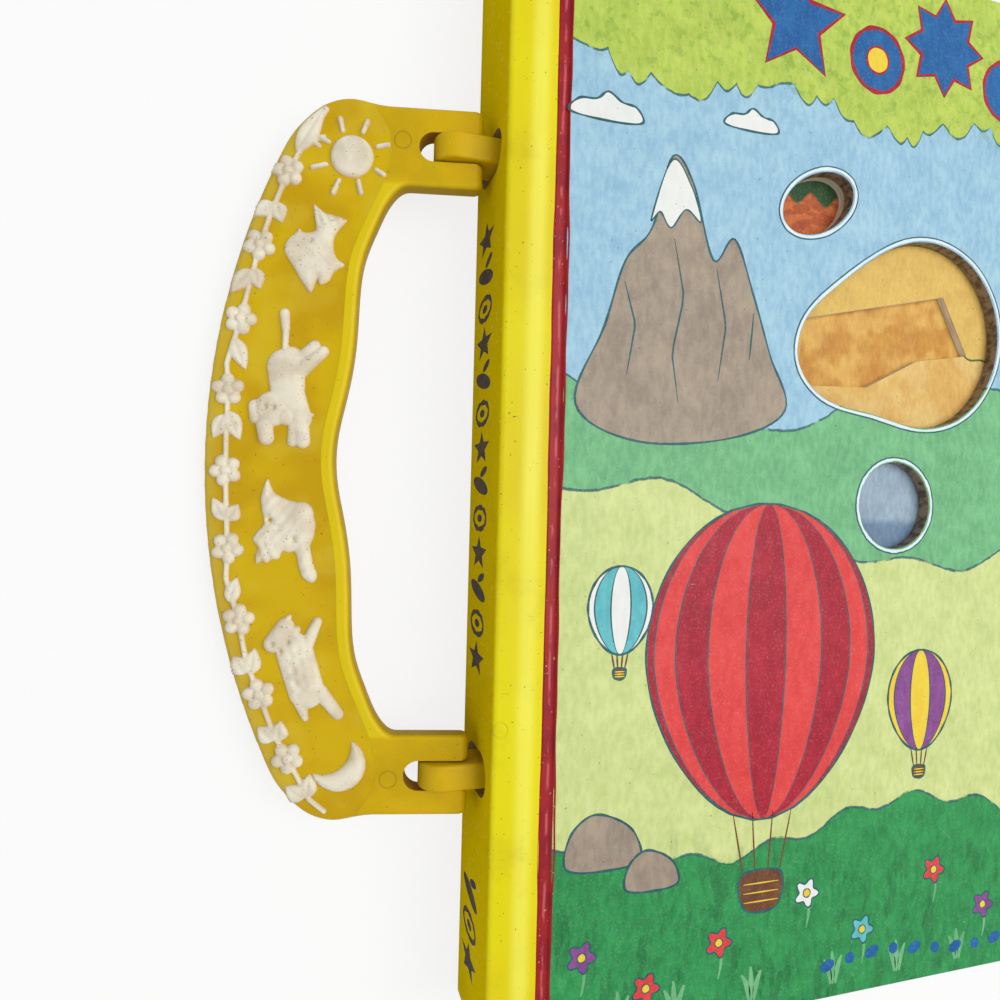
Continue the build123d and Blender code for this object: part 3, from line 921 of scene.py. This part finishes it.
class BOOK_OT_handle(bpy.types.Operator):
    """Moulded plastics of the handle, its soft inlay, the lugs and the pins"""

    bl_idname = "board_book.handle"
    bl_label = "Finish the handle"

    EJECTORS = ((-12.2, -75.9), (-12.6, 76.2), (-33.0, -2.0))
    EJECTOR_RADIUS = 2.0

    def plastic(self, name, s):
        """Hard yellow plastic with a mould's unevenness: the finish, its colour and its relief."""
        depth = {"Subsurface Radius": (0.6, 0.4, 0.05), "Subsurface Scale": 0.002}
        hard = Finish(name, 0.38, **{"Subsurface Weight": 0.12}, **depth)
        base = hard.mix(hard.noise(13, 3.0).step(0.38, 0.66), s.yellow, linear(202, 166, 2))
        mould = hard.bump(hard.noise(9), 0.12, hard.bump(hard.noise(0.6, 3.0), 0.016))
        return hard, base, mould

    def scuff(self, hard, base):
        """Fine scuffs and specks over hard plastic."""
        scuffs = hard.noise(0.9, 3.0, stretch=(1, 0.4, 1), roughness=0.7).step(0.68, 0.74)
        base = hard.mix(scuffs * 0.3, base, linear(240, 222, 120))
        hard.link(hard.specks(base, linear(120, 92, 10), 0.7, 0.735, 0.6), "Base Color")
        hard.link(hard.noise(4, 3.0) * 0.22 + 0.3, "Roughness")

    def frame_plastic(self, s):
        """The frame: painted shade in the slots and on the arms' backs, a painted highlight on the grip's
        front, painted shade on the grip's sides, and rings left by the ejector pins.
        """
        hard, base, mould = self.plastic("yellow_plastic", s)
        x, y, z = handle_place(hard)
        arms = abs(y).step(GRIP_END - 0.8, GRIP_END + 0.8)
        # Painted shade on the slots' walls and on the backs of the arms.
        slots = abs(abs(y) - LUG_Y).step(4.2, 3.5) * x.step(-11.5, -8.9) * z.step(2.7, 2.2)
        arm_back_shade = z.step(1.2, -1.6) * arms * 0.5
        base = hard.mix(slots.larger(arm_back_shade) * 0.85, base, s.shade)
        # Painted highlight on the grip's front face.
        base = hard.mix(z.step(2.1, 2.7) * (1.0 - arms) * 0.8, base, s.rim)
        # Painted shade on the grip's sides.
        base = hard.mix(z.between(-2.2, 1.9, 0.4) * (1.0 - arms) * 0.6, base, linear(166, 136, 6))
        rings = [
            abs((x - mark_x).apart(y - mark_y) - self.EJECTOR_RADIUS).step(0.32, 0.0)
            for mark_x, mark_y in self.EJECTORS
        ]
        marks = rings[0].larger(rings[1]).larger(rings[2])
        hard.bump(1.0 - marks, 0.14, mould)
        self.scuff(hard, hard.mix(marks * 0.4, base, linear(168, 136, 0)))
        return hard

    def inlay(self, s):
        """The soft amber inlay, paler along the handle's outer edge."""
        depth = {"Subsurface Radius": (1.0, 0.6, 0.08), "Subsurface Scale": 0.003}
        soft = Finish("amber_inlay", 0.3, **{"Subsurface Weight": 0.3}, **depth)
        x, y, z = handle_place(soft)
        outer = (x - (HANDLE_BOW - HANDLE_REACH)).apart(y).step(HANDLE_BOW - 4.2, HANDLE_BOW - 1.4)
        tone = soft.mix(soft.noise(15).step(0.4, 0.62), s.amber, s.amber_deep)
        tone = soft.mix(soft.noise(11, 1.0).step(0.5, 0.66) * 0.3, tone, linear(228, 202, 60))
        tone = soft.mix(outer * 0.7, tone, s.amber_pale)
        scuffs = soft.noise(0.8, 3.0, roughness=0.7).step(0.7, 0.76)
        tone = soft.mix(scuffs * 0.35, tone, linear(150, 118, 20))
        soft.link(soft.specks(tone, linear(120, 96, 20), 0.8, 0.73, 0.6), "Base Color")
        soft.link(soft.noise(6, 3.0) * 0.2 + 0.26, "Roughness")
        soft.bump(soft.noise(8), 0.14, soft.bump(soft.noise(0.7, 3.0), 0.02))
        return soft

    def steel(self):
        """Turned steel."""
        steel = Finish("pin_steel", 0.34, Metallic=1.0)
        turned = steel.noise(0.5, stretch=(1, 8, 1))
        steel.link(steel.mix(turned, linear(150, 150, 148), linear(196, 196, 192)), "Base Color")
        steel.bump(turned, 0.01)
        return steel

    def execute(self, context):
        s = settings().handle
        dress("handle_frame", self.frame_plastic(s))
        lugs, base, mould = self.plastic("yellow_lugs", s)
        self.scuff(lugs, base)
        dress("anchor_strip", lugs)
        dress("handle_inlay", self.inlay(s))
        steel = self.steel()
        dress("hinge_pin_head", steel)
        dress("hinge_pin_foot", steel)
        return {"FINISHED"}


class ReliefField:
    """Heights over the inlay on a grid in the handle's plane: the highest of the shapes laid on it."""

    LOWEST = -1.0
    BASE = -0.44

    def __init__(self, spacing):
        self.x, self.y = np.meshgrid(np.arange(-56.6, -13.0, spacing), np.arange(-85.2, 84.6, spacing))
        self.height = np.full(self.x.shape, self.LOWEST)
        self.detail = np.zeros(self.x.shape)

    def far(self, at):
        """Distance from a place."""
        return np.hypot(self.x - at[0], self.y - at[1])

    def dome(self, depth, top, edge):
        """A quarter circle from the rim up to top at depth edge, and a steep fall outside the rim."""
        t = np.clip(depth / edge, 0, 1)
        return np.where(depth > 0, top * np.sqrt(1 - (1 - t) ** 2), np.maximum(1.6 * depth, self.LOWEST))

    def along(self, a, b):
        """How far along the line from a to b each place is, as a share, and its distance across it."""
        d = np.subtract(b, a)
        dx, dy = self.x - a[0], self.y - a[1]
        long = max(np.hypot(*d), 1e-9)
        return (dx * d[0] + dy * d[1]) / long**2, np.abs(dx * d[1] - dy * d[0]) / long, long

    def limb(self, a, b, ra, rb, top, edge=None):
        """A rounded bar whose radius runs from ra at a to rb at b."""
        t = np.clip(self.along(a, b)[0], 0, 1)
        away = self.far((a[0] + t * (b[0] - a[0]), a[1] + t * (b[1] - a[1])))
        return self.dome(ra + (rb - ra) * t - away, top, edge or max(ra, rb) * 0.9)

    def ball(self, at, radius, top, edge=None):
        """A round button."""
        return self.dome(radius - self.far(at), top, edge or radius * 0.9)

    def leaf(self, root, tip, wide, top):
        """A pointed oval with a sunk rib: its half width is wide times sin(pi t^0.72) from root to tip."""
        t, across, long = self.along(root, tip)
        past = np.maximum(np.abs(t - 0.5) - 0.5, 0) * long
        depth = wide * np.sin(math.pi * np.clip(t, 0, 1) ** 0.72) - across - past
        return self.dome(depth, top, wide * 0.55) - 0.28 * np.exp(-((across / 0.4) ** 2)) * (depth > 0)

    def inside(self, corners):
        """Depth inside a smooth loop: the distance to its nearest side, positive where a ray crosses it
        an odd number of times."""
        loop = smooth_loop(corners, 3)
        low, high = loop.min(0) - 1, loop.max(0) + 1
        rows = np.flatnonzero((self.y[:, 0] > low[1]) & (self.y[:, 0] < high[1]))
        cols = np.flatnonzero((self.x[0] > low[0]) & (self.x[0] < high[0]))
        window = np.ix_(rows, cols)
        px, py = self.x[window][..., None], self.y[window][..., None]
        ax, ay = loop.T
        bx, by = np.roll(loop, -1, 0).T
        side_x, side_y = bx - ax, by - ay
        t = np.clip(((px - ax) * side_x + (py - ay) * side_y) / (side_x**2 + side_y**2), 0, 1)
        near = np.hypot(px - ax - t * side_x, py - ay - t * side_y).min(-1)
        reach = side_x * (py - ay) / np.where(side_y == 0, 1e-9, side_y) + ax
        odd = (((ay > py) != (by > py)) & (px < reach)).sum(-1) % 2 == 1
        depth = np.full(self.x.shape, self.LOWEST)
        depth[window] = np.where(odd, near, -near)
        return depth

    def lay(self, *surfaces):
        """Raises the relief to the highest of some surfaces."""
        for surface in surfaces:
            np.maximum(self.height, surface, out=self.height)

    def bars(self, *bars):
        """Lays several rounded bars."""
        for bar in bars:
            self.lay(self.limb(*bar))

    def pit(self, at, radius):
        """A small round hollow."""
        self.detail -= 1.5 * np.exp(-(self.far(at) ** 2) / (2 * (0.85 * radius) ** 2))

    def settled(self):
        """The heights with their detail, ended at the handle's outer edge and softened once."""
        height = np.where(self.height > 0.2, self.height + self.detail, self.height)
        edge = HANDLE_BOW - 0.25 - self.far((HANDLE_BOW - HANDLE_REACH, 0))
        height = np.minimum(height, np.where(edge > 0, 1.3 * np.sqrt(np.maximum(edge, 0)), self.LOWEST))
        p = np.pad(height, 1, mode="edge")
        around = p[:-2, 1:-1] + p[2:, 1:-1] + p[1:-1, :-2] + p[1:-1, 2:]
        return np.maximum(0.4 * height + 0.15 * around, self.BASE)

    def mesh(self, name):
        """A closed solid: the height surface where it stands over its base, the same cells on a flat bottom,
        and walls round them."""
        height = self.settled()
        rows, cols = height.shape
        high = height > self.BASE + 0.01
        keep = high[:-1, :-1] | high[1:, :-1] | high[:-1, 1:] | high[1:, 1:]
        number = np.arange(rows * cols).reshape(rows, cols)
        cell = np.stack([number[:-1, :-1], number[:-1, 1:], number[1:, 1:], number[1:, :-1]], -1)[keep]
        below = rows * cols
        padded = np.pad(keep, 1)
        walls = []
        for dr, dc, a, b in ((-1, 0, 0, 1), (0, 1, 1, 2), (1, 0, 2, 3), (0, -1, 3, 0)):
            open_side = ~padded[1 + dr : rows + dr, 1 + dc : cols + dc][keep]
            start, end = cell[open_side][:, a], cell[open_side][:, b]
            walls.append(np.column_stack([end, start, start + below, end + below]))
        faces = np.vstack([cell, cell[:, ::-1] + below, *walls])
        base = HANDLE_THICKNESS / 2
        over = on_handle(self.x, self.y, base + height).reshape(-1, 3)
        under = on_handle(self.x, self.y, np.full(height.shape, base - 0.5)).reshape(-1, 3)
        used, faces = np.unique(faces, return_inverse=True)
        return solid(name, np.vstack([over, under])[used], faces.reshape(-1, 4).tolist(), smooth=True)


class BOOK_OT_relief(bpy.types.Operator):
    """The white moulded relief: sun, flower vine, four animals and a moon"""

    bl_idname = "board_book.relief"
    bl_label = "Build the relief"

    FLOWERS = (
        (-39.0, 67.0), (-45.1, 49.4), (-49.0, 31.8), (-51.4, 15.2), (-51.5, -3.7),
        (-50.6, -21.8), (-47.6, -38.5), (-42.5, -55.8), (-35.6, -70.7),
    )
    # Where the stem passes before each flower
    BENDS = (
        (-34.6, 75.5), (-42.7, 57.1), (-47.5, 38.7), (-51.9, 21.4), (-51.6, 5.0),
        (-51.1, -13.0), (-50.7, -29.0), (-45.6, -48.3), (-39.0, -64.8),
    )
    # Root, tip and half width
    LEAVES = (
        ((-42.2, 59.4), (-46.6, 56.0), 1.5), ((-41.6, 59.6), (-40.1, 54.6), 1.5),
        ((-47.0, 43.6), (-51.4, 37.7), 1.5), ((-46.4, 43.8), (-44.7, 38.7), 1.5),
        ((-50.5, 27.4), (-47.4, 19.6), 1.5), ((-52.0, 9.4), (-54.6, 3.4), 1.4),
        ((-51.4, 10.2), (-48.3, 3.2), 1.6), ((-51.4, -15.4), (-54.4, -9.9), 1.3),
        ((-50.6, -15.4), (-48.3, -11.4), 1.5), ((-49.7, -34.6), (-48.2, -28.3), 1.4),
        ((-45.6, -51.2), (-48.8, -46.8), 1.6), ((-44.6, -51.2), (-43.7, -44.8), 1.6),
        ((-38.8, -66.8), (-42.7, -63.2), 1.6), ((-38.0, -66.8), (-37.3, -61.8), 1.7),
        ((-31.4, -80.2), (-36.0, -77.2), 1.6), ((-30.8, -80.0), (-30.4, -74.2), 1.6),
    )
    SUN = (-24.3, 71.4)
    SUN_RADIUS = 5.0
    # Each ray's outer and inner end
    RAYS = (
        ((-27.3, 80.2), (-26.6, 77.4)), ((-20.9, 79.9), (-21.9, 77.3)),
        ((-15.9, 74.7), (-18.4, 74.1)), ((-16.8, 67.5), (-18.6, 68.6)),
        ((-22.0, 62.9), (-22.7, 65.7)), ((-28.5, 62.5), (-27.2, 65.6)),
        ((-33.5, 68.3), (-30.3, 69.2)), ((-31.7, 75.4), (-29.8, 74.5)),
    )
    FISH = (
        (-32.9, 59.8), (-30.6, 57.9), (-27.8, 57.2), (-25.0, 56.2), (-26.6, 54.2), (-27.9, 51.9),
        (-28.0, 49.0), (-27.0, 46.8), (-25.3, 45.5), (-27.6, 44.0), (-28.9, 41.6), (-31.0, 40.6),
        (-31.6, 42.2), (-33.0, 38.6), (-35.2, 41.2), (-37.1, 44.4), (-39.4, 48.2), (-38.6, 51.0),
        (-36.6, 53.0), (-36.1, 54.0), (-35.2, 52.9), (-32.4, 53.4), (-32.6, 56.6),
    )
    DOVE = (
        (-41.8, -5.4), (-40.4, -8.4), (-37.6, -10.0), (-34.6, -10.9), (-32.0, -12.6), (-30.6, -15.2),
        (-30.8, -18.6), (-31.6, -21.2), (-31.0, -24.6), (-29.8, -27.8), (-30.8, -29.6), (-33.0, -28.6),
        (-34.2, -25.6), (-34.9, -22.6), (-36.6, -22.6), (-38.0, -22.4), (-38.8, -24.2), (-40.6, -24.4),
        (-41.4, -25.2), (-42.6, -24.8), (-43.9, -25.6), (-44.1, -23.0), (-43.6, -21.6), (-44.9, -19.8),
        (-43.8, -17.8), (-42.4, -16.0), (-42.8, -13.4), (-43.2, -9.6),
    )

    def vine(self, field, s):
        """A stem through the flowers, its leaves, and flowers of five balls about a higher one."""
        between = [point for pair in zip(self.BENDS, self.FLOWERS) for point in pair]
        stem = [(-30.5, 82.2), *between, (-30.3, -80.4), (-26.8, -83.2)]
        field.bars(*[(a, b, 0.62, 0.62, s.stem_top) for a, b in zip(stem, stem[1:])])
        for root, tip, wide in self.LEAVES:
            field.lay(field.leaf(root, tip, wide * s.leaf_swell, s.stem_top + 0.25))
        field.lay(field.leaf((-37.2, 71.6), (-30.6, 83.4), 2.3, s.stem_top + 0.25))
        field.bars(
            ((-35.2, 74.6), (-30.9, 75.8), 1.3, 0.5, 0.8),
            ((-35.4, 76.0), (-32.0, 73.4), 1.2, 0.5, 0.8),
        )
        for count, middle in enumerate(self.FLOWERS):
            turns = 0.5 + 0.37 * count + np.arange(5) * 2 * math.pi / 5
            for at in np.add(middle, 2.3 * np.column_stack([np.cos(turns), np.sin(turns)])):
                field.lay(field.ball(at, 1.5, 1.45, 1.5), field.limb(at, middle, 0.8, 0.8, 0.6))
            field.lay(field.ball(middle, 1.25, 1.85, 1.25))

    def sun_and_moon(self, field, top):
        """The sun is a low button with a ball's cap on it, and the moon is one disc less another."""
        cap = np.sqrt(np.clip(1 - (field.far(self.SUN) / self.SUN_RADIUS) ** 2, 0, 1))
        field.lay(field.ball(self.SUN, self.SUN_RADIUS, 0.7, 1.0) + cap)
        field.bars(*[(outer, inner, 0.62, 0.55, 0.9) for outer, inner in self.RAYS])
        crescent = np.minimum(6.3 - field.far((-23.7, -72.3)), field.far((-27.4, -68.0)) - 6.6)
        field.lay(field.dome(crescent, top, 2.2))

    def fish(self, field, top):
        """Body with faint scales and a ribbed tail."""
        x, y = field.x, field.y
        depth = field.inside(self.FISH)
        body = field.dome(depth, top, 3.2)
        tail = np.clip((y - 53.6) / 2, 0, 1)
        ribs = 0.45 * tail * (0.5 + 0.5 * np.cos((x + 29.5) * 3.4 + (y - 56) * 1.1))
        scales = 0.06 * (1 - tail) * np.cos(x * 4.1) * np.cos(y * 4.1)
        field.lay(np.where(depth > 0, np.maximum(body - ribs + scales, 0.12), body))
        field.pit((-33.2, 50.6), 0.3)

    def cub(self, field, top):
        """Tail, body, legs, curly head with muzzle and ears."""
        field.bars(
            ((-38.9, 33.6), (-38.6, 30.2), 1.15, 1.0, 1.1), ((-38.6, 30.2), (-38.6, 25.0), 0.8, 0.75, 0.9),
            ((-38.4, 21.0), (-37.6, 14.0), 4.3, 3.9, top * 1.05, 4.2),
            ((-37.2, 22.6), (-37.0, 17.0), 3.2, 3.2, top),
            ((-36.0, 22.2), (-31.8, 26.2), 1.5, 1.35, 1.15), ((-35.0, 20.2), (-29.8, 24.9), 1.9, 1.35, top),
            ((-36.6, 14.0), (-34.4, 9.0), 3.0, 2.4, top), ((-34.8, 9.4), (-34.0, 3.6), 2.1, 1.75, 1.3),
            ((-36.0, 9.4), (-36.4, 3.4), 1.4, 1.2, 1.0), ((-45.2, 11.6), (-45.0, 8.8), 1.5, 1.4, 1.2),
            ((-42.9, 7.2), (-42.4, 4.2), 1.9, 1.75, top * 1.15), ((-33.0, 9.6), (-31.9, 9.9), 0.5, 0.4, 0.7),
        )
        field.lay(field.ball((-41.2, 11.0), 4.1, top * 1.25), field.ball((-38.0, 9.4), 2.1, top * 1.15))
        curls = np.cos(field.x * 5.2 + 1) * np.cos(field.y * 5.6)
        field.detail += 0.36 * curls * np.clip(1 - field.far((-41.4, 11.4)) / 3.0, 0, 1)
        field.pit((-42.4, 11.4), 0.4)
        field.pit((-40.6, 11.2), 0.4)

    def dove(self, field, top):
        """Body with a sunk wing line, feathered fan, back and neck."""
        x, y = field.x, field.y
        depth = field.inside(self.DOVE)
        body = field.dome(depth, top, 3.0)
        fan = np.clip(1.6 - 1.6 * field.far((-42.4, -22.6)) / 4.4, 0, 1)
        feathers = 0.3 * fan * (0.5 + 0.5 * np.cos(x * 2.9 + y * 1.1)) + 0.12 * np.cos(x * 2.3 - y * 1.9 + 1)
        wing_line = np.exp(-((((x + 40.6) * 0.66 + (y + 15.2) * 0.75) / 0.8) ** 2))
        wing = 0.5 * wing_line * np.clip(1 - field.far((-40.6, -15.2)) / 4.6, 0, 1)
        field.lay(np.where(depth > 0, np.maximum(body - feathers - wing, 0.1), body))
        field.bars(
            ((-34.0, -13.6), (-33.6, -19.6), 3.0, 2.2, top * 1.15),
            ((-33.2, -21.0), (-31.6, -27.6), 1.5, 1.2, 1.1),
        )
        field.pit((-35.3, -19.4), 0.55)
        field.pit((-41.0, -15.0), 0.5)

    def lamb(self, field, top):
        """Woolly body, legs, head, nose and ears."""
        field.bars(
            ((-34.6, -45.6), (-31.6, -55.0), 4.3, 4.2, top * 1.1, 4.2),
            ((-31.6, -44.0), (-29.5, -38.7), 1.5, 1.1, 1.2),
            ((-33.4, -56.6), (-31.7, -61.3), 1.7, 0.85, 1.15),
            ((-28.4, -55.2), (-24.2, -60.4), 1.8, 1.4, 1.2),
            ((-38.8, -43.2), (-36.8, -40.0), 2.3, 2.1, top * 1.25),
            ((-36.8, -39.0), (-36.0, -37.7), 1.1, 0.6, 1.1),
            ((-34.9, -41.4), (-34.2, -40.6), 1.0, 0.9, 1.0),
        )
        field.lay(field.ball((-39.6, -44.0), 2.1, top * 1.3))
        waves = ((2.9, 0.7, 0), (-1.1, 2.6, 1), (1.9, 2.2, 2), (2.3, -1.7, 4))
        lumps = sum(np.cos(field.x * a + field.y * b + c) for a, b, c in waves)
        fleece = np.clip(1 - ((field.x + 33.0) / 4.2) ** 2 - ((field.y + 50.2) / 8.0) ** 2, 0, 1)
        field.detail += 0.13 * lumps * fleece
        for at, radius in (((-39.5, -44.0), 0.45), ((-36.0, -43.5), 0.4), ((-37.6, -45.7), 0.4)):
            field.pit(at, radius)

    def vinyl(self, s):
        """Ivory vinyl: warm where it is thin over the inlay, with grime in patches and dark specks."""
        depth = {"Subsurface Radius": (1.0, 0.7, 0.4), "Subsurface Scale": 0.0015}
        ivory = Finish("relief_ivory", 0.55, **{"Subsurface Weight": 0.2}, **depth)
        rise = handle_place(ivory)[2] - HANDLE_THICKNESS / 2
        tone = ivory.mix(ivory.noise(6, 3.0).step(0.4, 0.66), s.ivory, linear(224, 212, 188))
        tone = ivory.mix(rise.step(0.62, 0.02) * 0.6, tone, s.ivory_warm)
        grime = ivory.noise(0.55, 3.0, roughness=0.7).step(0.62, 0.7) * ivory.noise(7).step(0.5, 0.62)
        tone = ivory.mix(grime * 0.5, tone, s.dirt)
        ivory.link(ivory.specks(tone, s.dirt, 0.6, 0.7, 0.65), "Base Color")
        ivory.bump(ivory.noise(0.35, 3.0), 0.05)
        return ivory

    def execute(self, context):
        s = settings().handle
        field = ReliefField(s.grid)
        self.vine(field, s)
        self.sun_and_moon(field, s.body_top)
        for figure in (self.fish, self.cub, self.dove, self.lamb):
            figure(field, s.body_top)
        made = field.mesh("relief_sculpted")
        made.data.materials.append(self.vinyl(s).material)
        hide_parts("relief_ornament")
        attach(made, "handle")
        return {"FINISHED"}


# ---------------------------------------------------------------- stage


class BOOK_OT_stage(bpy.types.Operator):
    """Floor, lamps, surroundings and camera"""

    bl_idname = "board_book.stage"
    bl_label = "Set the stage"

    HALF_FLOOR = 3.0
    FLOOR_Z = -0.0001
    CAMERA_PLACE = (-0.15812, -0.01013, 0.18041)
    CAMERA_RIGHT = (0.959367, 0.0253835, 0.281016)
    CAMERA_UP = (-0.0262818, 0.999654, -0.000572)
    CAMERA_BACK = (-0.280933, -0.0068367, 0.959703)

    def floor(self, s):
        """A pale floor, partly self-lit for camera rays, which keeps the book's shadow."""
        half, low = self.HALF_FLOOR, self.FLOOR_Z
        corners = [(-half, -half, low), (half, -half, low), (half, half, low), (-half, half, low)]
        mesh = bpy.data.meshes.new("floor")
        mesh.from_pydata(corners, [], [(0, 1, 2, 3)])
        floor = bpy.data.objects.new("floor", mesh)
        bpy.context.scene.collection.objects.link(floor)
        pale = Finish("floor_paper", 0.9)
        pale.link(pale.mix(pale.noise(90), s.floor, linear(238, 238, 238)), "Base Color")
        glow = pale.node("ShaderNodeEmission", {"Color": (1, 1, 1), "Strength": 1.0})
        share = pale.field("ShaderNodeLightPath") * 0.82
        inputs = {0: share, 1: pale.shader.outputs[0], 2: glow.outputs[0]}
        both = pale.node("ShaderNodeMixShader", inputs)
        pale.node("ShaderNodeOutputMaterial", {"Surface": both.outputs[0]}, is_active_output=True)
        mesh.materials.append(pale.material)

    def lamp(self, name, place, size, power):
        """A square soft lamp that looks at the book."""
        light = bpy.data.lights.new(name, "AREA")
        light.energy, light.size = power, size
        made = bpy.data.objects.new(name, light)
        made.location = place
        made.rotation_euler = (-Vector(place)).to_track_quat("-Z", "Y").to_euler()
        bpy.context.scene.collection.objects.link(made)

    def surroundings(self, s):
        """Even light all round, which the camera sees as white."""
        world = bpy.data.worlds.new("studio")
        bpy.context.scene.world = world
        world.use_nodes = True
        nodes, links = world.node_tree.nodes, world.node_tree.links
        nodes.clear()
        path = nodes.new("ShaderNodeLightPath")
        even, white = nodes.new("ShaderNodeBackground"), nodes.new("ShaderNodeBackground")
        mix, out = nodes.new("ShaderNodeMixShader"), nodes.new("ShaderNodeOutputWorld")
        even.inputs[1].default_value = s.ambient
        for node in (even, white):
            node.inputs[0].default_value = (1, 1, 1, 1)
        links.new(path.outputs["Is Camera Ray"], mix.inputs[0])
        links.new(even.outputs[0], mix.inputs[1])
        links.new(white.outputs[0], mix.inputs[2])
        links.new(mix.outputs[0], out.inputs[0])

    def camera(self, s):
        """The camera, looking down on the handle and the spine."""
        camera = bpy.data.objects.new("camera", bpy.data.cameras.new("camera"))
        camera.data.lens = s.lens
        camera.data.sensor_width = 36
        camera.data.clip_start = 0.01
        bpy.context.scene.collection.objects.link(camera)
        turn = Matrix((self.CAMERA_RIGHT, self.CAMERA_UP, self.CAMERA_BACK)).transposed().to_4x4()
        camera.matrix_world = Matrix.Translation(self.CAMERA_PLACE) @ turn
        bpy.context.scene.camera = camera

    def execute(self, context):
        s = settings().stage
        self.floor(s)
        self.lamp("key_lamp", (0.34, 0.1, 0.95), 0.8, s.key_power)
        self.lamp("fill_lamp", (-0.9, -0.3, 0.7), 0.7, s.fill_power)
        self.surroundings(s)
        self.camera(s)
        context.scene.view_settings.view_transform = "Standard"
        return {"FINISHED"}


class BOOK_PT_panel(bpy.types.Panel):
    """Settings and build steps of the board book"""

    bl_idname = "BOOK_PT_panel"
    bl_label = "Board Book"
    bl_space_type = "VIEW_3D"
    bl_region_type = "UI"
    bl_category = "Board Book"

    def draw(self, context):
        s = context.scene.board_book
        for title, group in (("Case", s.case), ("Print", s.art), ("Handle", s.handle), ("Stage", s.stage)):
            box = self.layout.box()
            box.label(text=title)
            for name in group.__annotations__:
                box.prop(group, name)
        for step in STEPS:
            self.layout.operator(step.bl_idname)


STEPS = (
    BOOK_OT_stage,
    BOOK_OT_case,
    BOOK_OT_hinge_wraps,
    BOOK_OT_cover_print,
    BOOK_OT_spine_print,
    BOOK_OT_pages,
    BOOK_OT_handle,
    BOOK_OT_relief,
)
CLASSES = (CaseSettings, PrintSettings, HandleSettings, StageSettings, BookSettings, *STEPS, BOOK_PT_panel)


def register():
    """Registers every class and the scene's settings."""
    for item in CLASSES:
        bpy.utils.register_class(item)
    bpy.types.Scene.board_book = PointerProperty(type=BookSettings)


def unregister():
    """Undoes register."""
    del bpy.types.Scene.board_book
    for item in reversed(CLASSES):
        bpy.utils.unregister_class(item)


def main():
    """Builds everything in order."""
    register()
    for step in STEPS:
        area, name = step.bl_idname.split(".")
        getattr(getattr(bpy.ops, area), name)()


if __name__ == "__main__":
    main()
